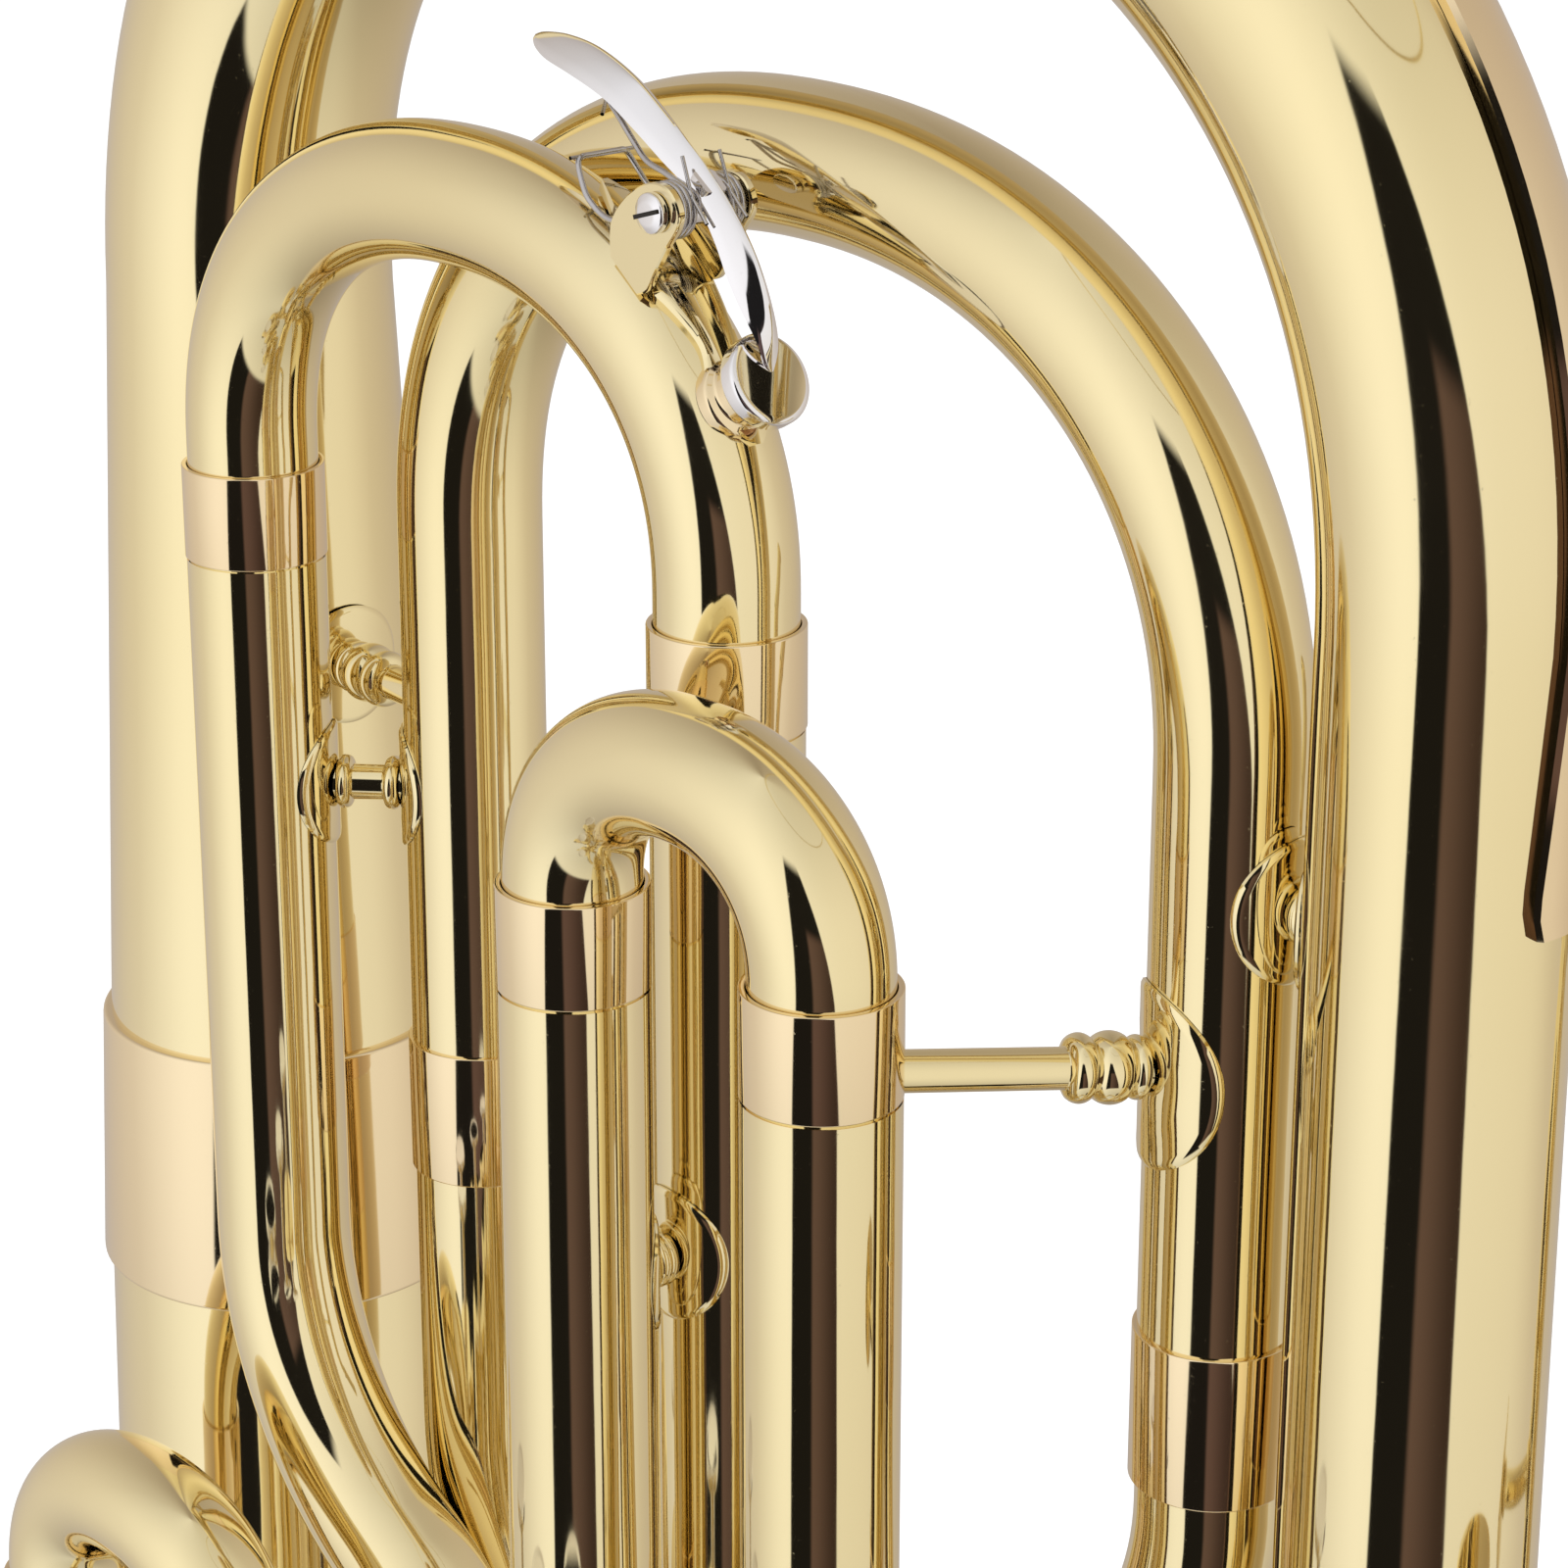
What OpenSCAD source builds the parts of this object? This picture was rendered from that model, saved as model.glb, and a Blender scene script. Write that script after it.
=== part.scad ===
// Baritone horn: upright bell, three top-action valves, a main tuning slide with a water key.
// Lengths are in millimetres. The origin is on the middle valve's axis, in the hand grip.
// +X points towards the bell, +Y towards the player and +Z up. Tubes are soldered through
// ferrules, the four slides pull out of sleeves, and the pistons stand on springs.

/* [Tubes and fits] */
// Wall of the drawn tubes
wall = 0.55; // [0.4:0.05:0.6]
// Solder gap between two pieces that are joined for good
solder = 0.06; // [0.04:0.01:0.1]
// Running clearance on the radius between a slide's leg and its sleeve
slide_fit = 0.05; // [0.03:0.01:0.08]
// Depth of the socket joint between a slide's bow and its leg
spigot = 5; // [3:0.5:5.5]
// How far a slide's bow reaches into its ferrule
bow_seat = 6; // [6:0.5:8]

/* [Valve slides] */
// Outer radius of the valve slides' bows and legs
vs_r = 6.82; // [6.2:0.01:6.9]
// Outer radius of the valve slides' sleeves
vs_sleeve_r = 7.5; // [7.4:0.05:9]
// Outer radius of the valve slides' ferrules
vs_ferrule_r = 7.55; // [7.5:0.05:9.5]
// Length of the valve slides' ferrules
vs_ferrule_len = 10.5; // [6:0.5:14]
// Distance between the legs of the first and third valve slides
vs_width = 35.06; // [30:0.1:42]
// Bend radius at each shoulder of those two bows
vs_bend = 15.67; // [10:0.01:15.9]
// First slide, left leg: place along X
first_x = 9.9; // [6:0.1:13]
// First slide: place along Y
first_y = 33; // [30:0.1:33.5]
// First slide: height of the ferrules' rims
first_rim = 184; // [160:1:220]
// First slide: length of the hidden legs
first_leg = 60; // [30:1:75]
// Third slide, left leg: place along X
third_x = -79.1; // [-84:0.1:-72]
// Third slide: place along Y
third_y = 27; // [26:0.1:32]
// Third slide: height of the ferrules' rims
third_rim = 73; // [70:1:90]
// Third slide: length of the hidden legs
third_leg = 22; // [12:1:24]
// Second slide: distance between its two legs, one above the other
second_width = 27; // [22:0.5:32]
// Second slide: distance from the valve's axis to the ferrules' rims
second_rim = 38; // [36:0.5:50]
// Second slide: length of the hidden legs
second_leg = 18; // [8:1:20]

/* [Main tuning slide] */
// Outer radius of the tuning slide's bow and legs
ts_r = 7.19; // [6.6:0.01:7.2]
// Outer radius of the tuning slide's sleeves
ts_sleeve_r = 7.7; // [7.65:0.01:7.75]
// Outer radius of the tuning slide's ferrules
ts_ferrule_r = 7.86; // [7.8:0.01:8.1]
// Length of the tuning slide's ferrules
ts_ferrule_len = 10.4; // [6:0.1:14]
// Distance between the tuning slide's legs
ts_width = 78.52; // [75:0.1:82]
// Bend radius at each shoulder of the tuning slide's bow
ts_bend = 32.83; // [26:0.01:36]
// Right leg: place along X
ts_x = 11.02; // [8:0.1:13]
// Place along Y
ts_y = 51.8; // [51:0.1:51.9]
// Height of the ferrules' rims
ts_rim = 206.1; // [195:0.1:225]
// Height from the rims to the start of the bow's shoulders
ts_neck = 2.8; // [0:0.1:8]
// Length of the hidden legs
ts_leg = 70; // [40:1:80]
// Height where the left sleeve starts to curve towards the third valve
feed_bend_z = 115; // [112:1:120]
// Bend radius of that curve
feed_bend = 41; // [35:1:45]

/* [Middle bow] */
// Outer radius of its right leg
mb_right_r = 7.43; // [7:0.01:7.5]
// Outer radius of its left leg
mb_left_r = 7.98; // [7.5:0.01:8]
// Right leg: place along X
mb_right_x = 62.3; // [60:0.1:64]
// Distance between its legs
mb_width = 112.2; // [108:0.1:116]
// Place along Y
mb_y = 68; // [67.9:0.1:69]
// Height where its shoulders start
mb_spring = 200.3; // [190:0.1:215]
// Bend radius at each shoulder
mb_bend = 48; // [40:0.5:52]
// Height of the right ferrule's upper end
mr_ferrule_z = 144.8; // [140:0.1:150]
// Height of the left ferrule's upper end
ml_ferrule_z = 139.1; // [134:0.1:144]
// Length of both ferrules
m_ferrule_len = 15.8; // [10:0.1:20]
// Thickness of the ferrules over the tubes
ferrule_wall = 0.45; // [0.3:0.05:1.2]
// Bend radius at the foot of the bow that joins the tuning slide to the middle bow
return_bend = 21; // [20:1:21]
// Bend radius where that bow straightens up under the middle bow
return_top = 40; // [35:1:45]
// Bend radius of the low bow that leads to the right branch
low_bend = 50; // [40:1:54]

/* [Top bow and branches] */
// Outer radius of the right branch at its foot
rb_foot_r = 12.2; // [11.9:0.1:12.6]
// Outer radius of the top bow at its right end
tb_right_r = 11.9; // [11:0.1:12.4]
// Outer radius of the top bow at its left end
tb_left_r = 16.5; // [14:0.1:17]
// Right branch: place along X
tb_right_x = 84.8; // [83:0.1:88]
// Distance between the branches
tb_width = 177.7; // [175:0.1:182]
// Place along Y
tb_y = 70; // [69.5:0.1:71]
// Height where the top bow's shoulders start
tb_spring = 219.3; // [210:0.1:235]
// Bend radius at each shoulder
tb_bend = 76; // [60:0.5:85]
// Radius gained per millimetre down the left branch's upper tube
lb_taper = 0.043; // [0.03:0.001:0.046]
// Height of the left branch's ferrule, at its upper end
lb_ferrule_z = 129.4; // [120:0.1:140]
// Length of the left branch's ferrule
lb_ferrule_len = 31.8; // [20:0.1:40]
// Thickness of the guard strips
guard_t = 1; // [0.8:0.1:1.5]
// How far the top bow's guard reaches down the right branch
top_guard_foot = 24.8; // [10:0.2:40]

/* [Bottom bow and bell] */
// Outer radius of the bottom bow at its narrow end
bb_left_r = 24.5; // [23:0.5:26]
// Outer radius of the bottom bow at its wide end, and of the bell's foot
bell_foot_r = 29; // [27:0.5:31]
// Distance from the left branch to the bell's axis
bb_width = 242; // [238:1:250]
// Height of the bottom bow's ends
bb_z = -47; // [-60:1:-40]
// Height of the bell's mouth
bell_top = 449; // [400:1:480]
// Radius of the bell's mouth
bell_r = 108; // [90:1:120]
// Radius of the wire in the bell's rim
rim_wire = 1.7; // [1.2:0.1:2.2]

/* [Valves] */
// Distance between neighbouring valves
valve_pitch = 33; // [31:0.5:36]
// Radius of the pistons
piston_r = 10.4; // [9:0.1:10.5]
// Wall of the valve casings
casing_wall = 1.45; // [1.2:0.05:1.5]
// Height of the casings' upper ends
casing_top = 64; // [60:1:66]
// Height of the casings' lower ends
casing_foot = -66; // [-72:1:-64]
// Height of the piston's lower end at rest
piston_foot = -38; // [-40:1:-36]
// Height of the piston's body at rest
piston_len = 92; // [90:1:94]
// Height of the passage that runs through all three valves
port_z = 2; // [0:1:4]
// Height of the valve slides' upper ports
upper_port = 29; // [27:1:31]
// Height of the valve slides' lower ports
lower_port = -25; // [-27:1:-24]
// Height of the finger buttons' tops at rest
button_top = 95; // [92:1:110]
// Radius of the finger buttons
button_r = 8.6; // [7:0.1:10]
// Radius of the piston stems
stem_r = 2.5; // [2:0.1:3]
// Turns in a valve spring
spring_turns = 5; // [4:1:6]
// Radius of the spring's wire
spring_wire = 0.45; // [0.35:0.05:0.6]

/* [Leadpipe] */
// Outer radius of the leadpipe
lead_r = 6.4; // [6:0.1:6.8]
// Radius of the receiver's bore, which takes the mouthpiece's shank
receiver_bore = 6.2; // [5.8:0.1:6.4]
// Depth of that bore
receiver_depth = 30; // [24:1:36]
// Straight rise of the leadpipe behind the bell
lead_rise = 110; // [80:1:140]

/* [Braces] */
// Radius of the brace rods
rod_r = 2; // [1.5:0.1:2.5]
// Thickness of the flanges under the braces
flange_t = 0.55; // [0.4:0.05:0.8]
// Radius of the large flange
big_flange = 9; // [7:0.5:10]
// Radius of the small flanges
small_flange = 7; // [6:0.5:8]
// Height of the first slide's brace at the middle bow
first_brace_z = 171.5; // [165:0.5:180]
// How much higher that brace sits at the first slide
first_brace_rise = 4; // [0:0.5:5]
// Height of the brace between the first slide and the tuning slide
tuning_brace_z = 141.3; // [135:0.1:150]
// Height of the brace between the middle bow and the right branch
right_brace_z = 189; // [182:0.5:194]
// Height of the brace between the tuning slide and the middle bow's left leg
feed_brace_z = 169; // [160:0.5:180]
// Height of the brace between the middle bow and the left branch
left_brace_z = 177; // [170:0.5:185]

/* [Water key] */
// Angle of the key's cup on the tuning bow, from the right
cup_t = 30; // [28:0.5:31]
// Radius of the cup
cup_r = 4.5; // [4:0.1:5]
// Height of the nipple above the bow
nipple_h = 2.9; // [2:0.1:3.2]
// Outer radius of the nipple
nipple_r = 3.2; // [3:0.1:3.4]
// Angle of the key's axle on the tuning bow
axle_t = 53; // [51:0.5:55]
// Height of the axle above the bow
axle_h = 5.2; // [5:0.1:5.6]
// Radius of the axle
axle_r = 1; // [0.8:0.05:1.2]
// Distance from the bow's plane to the outside of each ear
ear_y = 5; // [4.8:0.1:5.6]
// Angle of the lever's tip on the tuning bow
tip_t = 85.6; // [80:0.1:88]
// Height of the lever's tip above the bow
tip_h = 8.2; // [7.5:0.1:9]

/* [Hidden] */
$fn = 64;

brass = [0.86, 0.72, 0.36];
rose = [0.88, 0.66, 0.45];
nickel = [0.84, 0.83, 0.82];

casing_r = piston_r + 0.05 + casing_wall;
valves = [[valve_pitch, 0], [0, 0], [-valve_pitch, 0]];
first_legs = [[first_x, first_y], [first_x + vs_width, first_y]];
third_legs = [[third_x, third_y], [third_x + vs_width, third_y]];
ts_right = [ts_x, ts_y];
ts_left = [ts_x - ts_width, ts_y];
ts_mid = ts_x - ts_width / 2;
ts_spring = ts_rim + ts_neck;
mb_right = [mb_right_x, mb_y];
mb_left = [mb_right_x - mb_width, mb_y];
mb_mid = mb_right_x - mb_width / 2;
tb_right = [tb_right_x, tb_y];
tb_left = [tb_right_x - tb_width, tb_y];
tb_mid = tb_right_x - tb_width / 2;
bell_axis = [tb_left[0] + bb_width, tb_y];
mr_joint = mr_ferrule_z - m_ferrule_len / 2;
ml_joint = ml_ferrule_z - m_ferrule_len / 2;
lb_joint = lb_ferrule_z - lb_ferrule_len / 2;
low_start = 91;
// Angles whose sine and cosine are short decimals, so that bent tubes join without a step
lean = asin(0.352);
feed_turn = asin(0.8432);
lead_turn = asin(0.8);
rb_foot_z = 97;
return_z = 91;
// Centre of the tuning bow's right shoulder, and heights above the bow as radii from it
key_centre = [ts_x - ts_bend, ts_y, ts_spring];
bow_top = ts_bend + ts_r;
axle_rho = bow_top + axle_h;

function heading(a, b) = atan2(b[1] - a[1], b[0] - a[0]);
// Outer radius of the left branch's upper tube at height z
function left_r(z) = tb_left_r + lb_taper * (tb_spring - z);
// Outer radius of the bell at the share t of its height
function bell_at(t) = bell_foot_r + 4 * t + (bell_r - bell_foot_r - 4) * pow(t, 6);
// Point and outward direction [x, z, nx, nz] at the distance s along a bow of two shoulders
// and a flat crest, from its right spring line; s below zero runs down the right leg
function bow_at(s, w, b) =
    let(q = PI * b / 2, f = w - 2 * b)
    s < 0 ? [w / 2, s, 1, 0] :
    s < q ? let(t = s / b * 180 / PI) [w / 2 - b + b * cos(t), b * sin(t), cos(t), sin(t)] :
    s < q + f ? [w / 2 - b - (s - q), b, 0, 1] :
    let(t = 90 + (s - q - f) / b * 180 / PI) [b - w / 2 + b * cos(t), b * sin(t), cos(t), sin(t)];
function bow_len(w, b) = PI * b + w - 2 * b;

// Flat ring, the section of a tube
module ring(ro, ri) {
    difference() {
        circle(r = ro);
        circle(r = ri);
    }
}

// Tube of the height h along +Z whose outer radius goes from r1 to r2
module tube(h, r1, r2, t = wall) {
    rotate_extrude() polygon([[r1 - t, 0], [r1, 0], [r2, h], [r2 - t, h]]);
}

// Tube that runs along +Z through its steps: [length], [length, new radius] for a cone, or
// [bend radius, angle, roll] for a bend towards +X after a roll about its own axis
module pipe_run(steps, ro, t = wall, i = 0) {
    if (i < len(steps)) {
        s = steps[i];
        if (len(s) == 3) {
            rotate([0, 0, s[2]]) {
                translate([s[0], 0, 0]) rotate([90, 0, 180])
                    rotate_extrude(angle = s[1]) translate([s[0], 0]) ring(ro, ro - t);
                translate([s[0] * (1 - cos(s[1])), 0, s[0] * sin(s[1])])
                    rotate([0, s[1], 0]) pipe_run(steps, ro, t, i + 1);
            }
        } else {
            r2 = len(s) == 2 ? s[1] : ro;
            tube(s[0], ro, r2, t);
            translate([0, 0, s[0]]) pipe_run(steps, r2, t, i + 1);
        }
    }
}

// The same run, starting downwards from the point p = [x, y] at height z; its bends turn
// towards the plan direction toward, given in degrees
module down_run(p, z, steps, ro, t = wall, toward = 0) {
    translate([p[0], p[1], z]) rotate([180, 0, toward]) pipe_run(steps, ro, t);
}

// Plain bow over two legs, from the right leg's foot up and round to the left
module bow_run(p, z, leg, bend, flat, ro, t = wall) {
    translate([p[0], p[1], z]) pipe_run([[leg], [bend, 90, 180], [flat], [bend, 90, 0], [leg]], ro, t);
}

// Upright tube that turns level at the height port and ends on the casing of the valve v
module valve_leg(p, z, v, port, bend, ro, t) {
    difference() {
        down_run(p, z, [[z - port - bend], [bend, 90, 0], [norm(v - p) - bend]], ro, t, heading(p, v));
        translate([v[0], v[1], port]) cylinder(r = casing_r + solder, h = 6 * ro, center = true);
    }
}

// Ferrule standing on z = 0 over a tube of the outer radius r that narrows to r - drop
module ferrule(r, h, t, drop = 0) {
    c = min(0.3, t / 2);
    rotate_extrude() polygon([
        [r + solder, 0], [r + t - c, 0], [r + t, c],
        [r + t - drop, h - c], [r + t - drop - c, h], [r - drop + solder, h]]);
}

// Ferrule on the open end of a slide's sleeve, hanging down from z = 0: its rim guides the
// leg of the radius r and its skirt grips the sleeve's thin end
module sleeve_ferrule(r, rf, h, rs) {
    translate([0, 0, -h]) rotate_extrude() polygon([
        [sleeve_neck(r, rs) + solder, 0], [rf - 0.15, 0], [rf, 0.15], [rf, h - 0.15],
        [rf - 0.15, h], [r + slide_fit, h], [r + slide_fit, h - 1.5],
        [sleeve_neck(r, rs) + solder, h - 1.5]]);
}
// Radius of the thin end of a sleeve, halfway through its wall
function sleeve_neck(r, rs) = (r + slide_fit + rs) / 2;

// Sleeve's thin end inside a ferrule, from the ferrule's foot at z = 0 up, bored a little wider
module sleeve_end(r, h, rs) {
    rotate_extrude() polygon([
        [r + slide_fit + 0.02, 0], [sleeve_neck(r, rs), 0], [sleeve_neck(r, rs), h - 1.6],
        [r + slide_fit + 0.02, h - 1.6]]);
}

// Hidden leg of a slide, hanging from z = 0, with the spigot that carries the bow
module slide_leg(r, h) {
    translate([0, 0, -h]) tube(h, r, r, 0.5);
    translate([0, 0, -2]) tube(2 + spigot, r - wall - solder, r - wall - solder, 0.5);
    translate([0, 0, -2]) tube(2, r - 0.3, r - 0.3, wall + 0.2);
}

// Bead of the turned bosses: a half round of the radius r and the length h along +Z
module bead(r, h) {
    translate([0, 0, h / 2]) rotate_extrude() translate([r - h / 2, 0]) circle(r = h / 2);
    cylinder(r = r - h / 2, h = h);
}

// Flange wrapped on an upright tube of the radius r, facing +X; slope is its taper
module wrapped_disc(r, disc_r, slope = 0) {
    h = disc_r + 1;
    a = r + solder;
    intersection() {
        rotate_extrude() polygon([
            [a + slope * h, -h], [a + flange_t + slope * h, -h],
            [a + flange_t - slope * h, h], [a - slope * h, h]]);
        rotate([0, 90, 0]) cylinder(r = disc_r, h = r + 5);
    }
}

// Turned boss on a flange, along +X from the surface of a tube of the radius r
module boss(r, short = false) {
    translate([r + solder, 0, 0]) rotate([0, 90, 0]) {
        translate([0, 0, 0.3]) cylinder(r = rod_r + 0.2, h = short ? 3 : 8);
        translate([0, 0, flange_t - 0.1]) bead(rod_r + 1.05, 1.5);
        if (!short) {
            translate([0, 0, flange_t + 1.5]) bead(rod_r + 1.45, 3.05);
            translate([0, 0, flange_t + 4.8]) bead(rod_r + 1.3, 2.3);
        }
    }
}

// Brace from the upright tube a to the tube b: radii ra and rb, flange radii fa and fb (0 for
// a rod that is soldered on directly), rise of the end at a, and the taper of the tube b
module brace(a, b, z, ra, rb, fa, fb, rise = 0, short = false, slope = 0) {
    d = norm(b - a);
    tilt = atan(rise / d);
    translate([b[0], b[1], z]) rotate([0, 0, heading(b, a)]) {
        wrapped_disc(rb, fb, slope);
        difference() {
            union() {
                rotate([0, -tilt, 0]) {
                    boss(rb, short);
                    rotate([0, 90, 0]) cylinder(r = rod_r, h = d / cos(tilt));
                }
                if (fa > 0) translate([d, 0, rise]) rotate([0, 0, 180]) boss(ra, true);
            }
            translate([0, 0, -20]) cylinder(r = rb + solder + 0.1, h = 40);
            translate([d, 0, -20]) cylinder(r = ra + solder + (fa > 0 ? 0.1 : 0), h = 40);
        }
        if (fa > 0) translate([d, 0, rise]) rotate([0, 0, 180]) wrapped_disc(ra, fa);
    }
}

// Closed skin over a list of rings of points, which are its cross-sections in order
module skin(rings) {
    n = len(rings[0]);
    m = len(rings);
    polyhedron(
        points = [for (r = rings) each r],
        faces = [
            [for (j = [0 : n - 1]) j],
            for (i = [0 : m - 2], j = [0 : n - 1])
                [i * n + j, (i + 1) * n + j, (i + 1) * n + (j + 1) % n, i * n + (j + 1) % n],
            [for (j = [n - 1 : -1 : 0]) (m - 1) * n + j]],
        convexity = 6);
}

// Closed skin of a tube: rings[i] holds the outer section, then the inner one
module tube_skin(rings) {
    n = len(rings[0]) / 2;
    m = len(rings);
    k = 2 * n;
    polyhedron(
        points = [for (r = rings) each r],
        faces = [
            for (i = [0 : m - 2], j = [0 : n - 1])
                [i * k + j, (i + 1) * k + j, (i + 1) * k + (j + 1) % n, i * k + (j + 1) % n],
            for (i = [0 : m - 2], j = [0 : n - 1])
                [i * k + n + (j + 1) % n, (i + 1) * k + n + (j + 1) % n,
                 (i + 1) * k + n + j, i * k + n + j],
            for (j = [0 : n - 1]) [j, (j + 1) % n, n + (j + 1) % n, n + j],
            for (j = [0 : n - 1])
                [(m - 1) * k + j, (m - 1) * k + n + j,
                 (m - 1) * k + n + (j + 1) % n, (m - 1) * k + (j + 1) % n]],
        convexity = 8);
}

// Section of a bow at the distance s: an arc of points on the radius r from angle a0 to a1,
// measured from the outer side towards +Y
function bow_arc(s, w, b, r, a0, a1, n) =
    let(p = bow_at(s, w, b))
    [for (j = [0 : n]) let(a = a0 + (a1 - a0) * j / n)
        [p[0] + r * cos(a) * p[2], r * sin(a), p[1] + r * cos(a) * p[3]]];

// Wire of the radius r wound into a coil of the mean radius rc and the height h
module coil(rc, r, turns, h, start = 0) {
    steps = 20;
    skin([for (i = [0 : turns * steps]) let(a = start + 360 * i / steps, z = h * i / (turns * steps))
        [for (j = [5 : -1 : 0]) let(b = 60 * j)
            [(rc + r * cos(b)) * cos(a), (rc + r * cos(b)) * sin(a), z + r * sin(b)]]]);
}

// Places children on the tuning bow's right shoulder at the angle t, with +X pointing outwards
module on_shoulder(t) {
    translate(key_centre) rotate([0, -t, 0]) children();
}

module bell() {
    n = 36;
    h = bell_top - bb_z;
    color(brass) translate([bell_axis[0], bell_axis[1], bb_z]) rotate_extrude() polygon([
        for (i = [0 : n]) let(t = pow(i / n, 0.6)) [bell_at(t), h * t],
        for (i = [n : -1 : 0]) let(t = pow(i / n, 0.6)) [bell_at(t) - wall, h * t]]);
}

module bell_rim_wire() {
    color(brass) translate([bell_axis[0], bell_axis[1], bell_top + rim_wire + solder])
        rotate_extrude() translate([bell_r + rim_wire / 2, 0]) circle(r = rim_wire);
}

module bottom_bow() {
    n = 28;
    m = 44;
    w = bb_width;
    r = function(u) bb_left_r + (bell_foot_r - bb_left_r) * u;
    color(brass) translate([tb_left[0] + w / 2, tb_y, bb_z - 2 * solder]) mirror([0, 0, 1])
        mirror([1, 0, 0]) tube_skin([for (i = [m : -1 : 0]) let(u = i / m, s = u * PI * w / 2) [
            each [for (j = [0 : n - 1]) bow_arc(s, w, w / 2, r(u), 0, 360, n)[j]],
            each [for (j = [0 : n - 1]) bow_arc(s, w, w / 2, r(u) - wall, 0, 360, n)[j]]]]);
}

module bottom_bow_guard() {
    m = 24;
    w = bb_width;
    r = function(u) bb_left_r + (bell_foot_r - bb_left_r) * u + 0.35;
    color(brass) translate([tb_left[0] + w / 2, tb_y, bb_z - 2 * solder]) mirror([0, 0, 1])
        mirror([1, 0, 0])
            skin([for (i = [m : -1 : 0]) let(u = 0.24 + 0.52 * i / m, s = u * PI * w / 2) concat(
                bow_arc(s, w, w / 2, r(u) + guard_t, -40, 40, 8),
                bow_arc(s, w, w / 2, r(u), 40, -40, 8))]);
}

// The wide ferrules: left branch, both ends of the bottom bow, right branch, return bow
module body_ferrules() {
    color(rose) {
        translate([tb_left[0], tb_y, lb_ferrule_z - lb_ferrule_len])
            ferrule(left_r(lb_ferrule_z - lb_ferrule_len), lb_ferrule_len, 1, lb_taper * lb_ferrule_len);
        translate([tb_left[0], tb_y, bb_z]) ferrule(bb_left_r, 14, 1, 0);
        translate([bell_axis[0], bell_axis[1], bb_z]) ferrule(bell_foot_r + 0.15, 14, 1, 0);
        translate([tb_right_x, tb_y, rb_foot_z - 6]) ferrule(rb_foot_r, 14, 0.8, 0);
        translate([ts_x, ts_y, return_z]) ferrule(ts_sleeve_r, 12, 0.6, 0);
    }
}

module left_branch_upper() {
    z = lb_joint + solder;
    color(brass) translate([tb_left[0], tb_y, z])
        tube(tb_spring - solder - z, left_r(z), tb_left_r);
}

module left_branch_lower() {
    z = bb_z + solder;
    color(brass) translate([tb_left[0], tb_y, z])
        pipe_run([[16, bb_left_r], [lb_ferrule_z - lb_ferrule_len - z - 16,
            left_r(lb_ferrule_z - lb_ferrule_len)],
            [lb_joint - lb_ferrule_z + lb_ferrule_len, left_r(lb_joint)]], bb_left_r);
}

module top_bow() {
    n = 32;
    m = 40;
    total = bow_len(tb_width, tb_bend);
    color(brass) translate([tb_mid, tb_y, tb_spring])
        tube_skin([for (i = [m : -1 : 0])
            let(s = total * i / m, r = tb_right_r + (tb_left_r - tb_right_r) * i / m) [
                each [for (j = [0 : n - 1]) bow_arc(s, tb_width, tb_bend, r, 0, 360, n)[j]],
                each [for (j = [0 : n - 1]) bow_arc(s, tb_width, tb_bend, r - wall, 0, 360, n)[j]]]]);
}

// Strip over the top bow and the upper end of the right branch
module top_bow_guard() {
    m = 36;
    s0 = -top_guard_foot;
    s1 = bow_len(tb_width, tb_bend) * 0.74;
    front = function(s) -4 + 11 * min(s, 0) / top_guard_foot;
    r = function(s) tb_right_r + (tb_left_r - tb_right_r) * max(s, 0) / bow_len(tb_width, tb_bend) + 0.3;
    color(rose) translate([tb_mid, tb_y, tb_spring])
        skin([for (i = [m : -1 : 0]) let(s = s0 + (s1 - s0) * i / m) concat(
            bow_arc(s, tb_width, tb_bend, r(s) + guard_t, front(s), 65, 8),
            bow_arc(s, tb_width, tb_bend, r(s), 65, front(s), 8))]);
}

module right_branch() {
    color(brass) translate([tb_right_x, tb_y, rb_foot_z + solder])
        tube(tb_spring - rb_foot_z - 2 * solder, rb_foot_r, tb_right_r);
}

module middle_bow() {
    flat = mb_width - 2 * mb_bend;
    up = mb_spring - mr_joint - solder;
    color(brass) translate([mb_right_x, mb_y, mr_joint + solder])
        pipe_run([[up], [mb_bend, 90, 180], [flat, mb_left_r], [mb_bend, 90, 0],
            [mb_spring - ml_joint - solder]], mb_right_r);
}

module middle_bow_ferrules() {
    color(rose) {
        translate([mb_right_x, mb_y, mr_ferrule_z - m_ferrule_len])
            ferrule(mb_right_r, m_ferrule_len, ferrule_wall);
        translate([mb_left[0], mb_y, ml_ferrule_z - m_ferrule_len])
            ferrule(mb_left_r, m_ferrule_len, ferrule_wall);
    }
}

// From the middle bow's left leg down, across below the slides and up to the right branch
module low_bow() {
    d = norm(tb_right - mb_left);
    color(brass) down_run(mb_left, ml_joint, [
        [ml_joint - low_start], [low_bend, 90, 0],
        [d - 2 * low_bend, rb_foot_r - 0.7], [low_bend, 90, 0],
        [rb_foot_z - low_start - solder]], mb_left_r, wall, heading(mb_left, tb_right));
}

// From the tuning slide's right sleeve down, round and up to the middle bow's right leg
module return_bow() {
    // Slanted length that brings the bow under the middle bow, and the rise that is left
    across = norm(mb_right - ts_right);
    slant = (across - return_bend * (1 + cos(lean)) - return_top * (1 - cos(lean))) / sin(lean);
    rise = mr_joint - return_z - slant * cos(lean) - (return_top - return_bend) * sin(lean);
    color(brass) down_run(ts_right, return_z + 6, [
        [6], [return_bend, 180 - lean, 0], [slant],
        [return_top, lean, 0], [rise - solder]], mb_right_r - 0.25, wall, heading(ts_right, mb_right));
}

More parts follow.
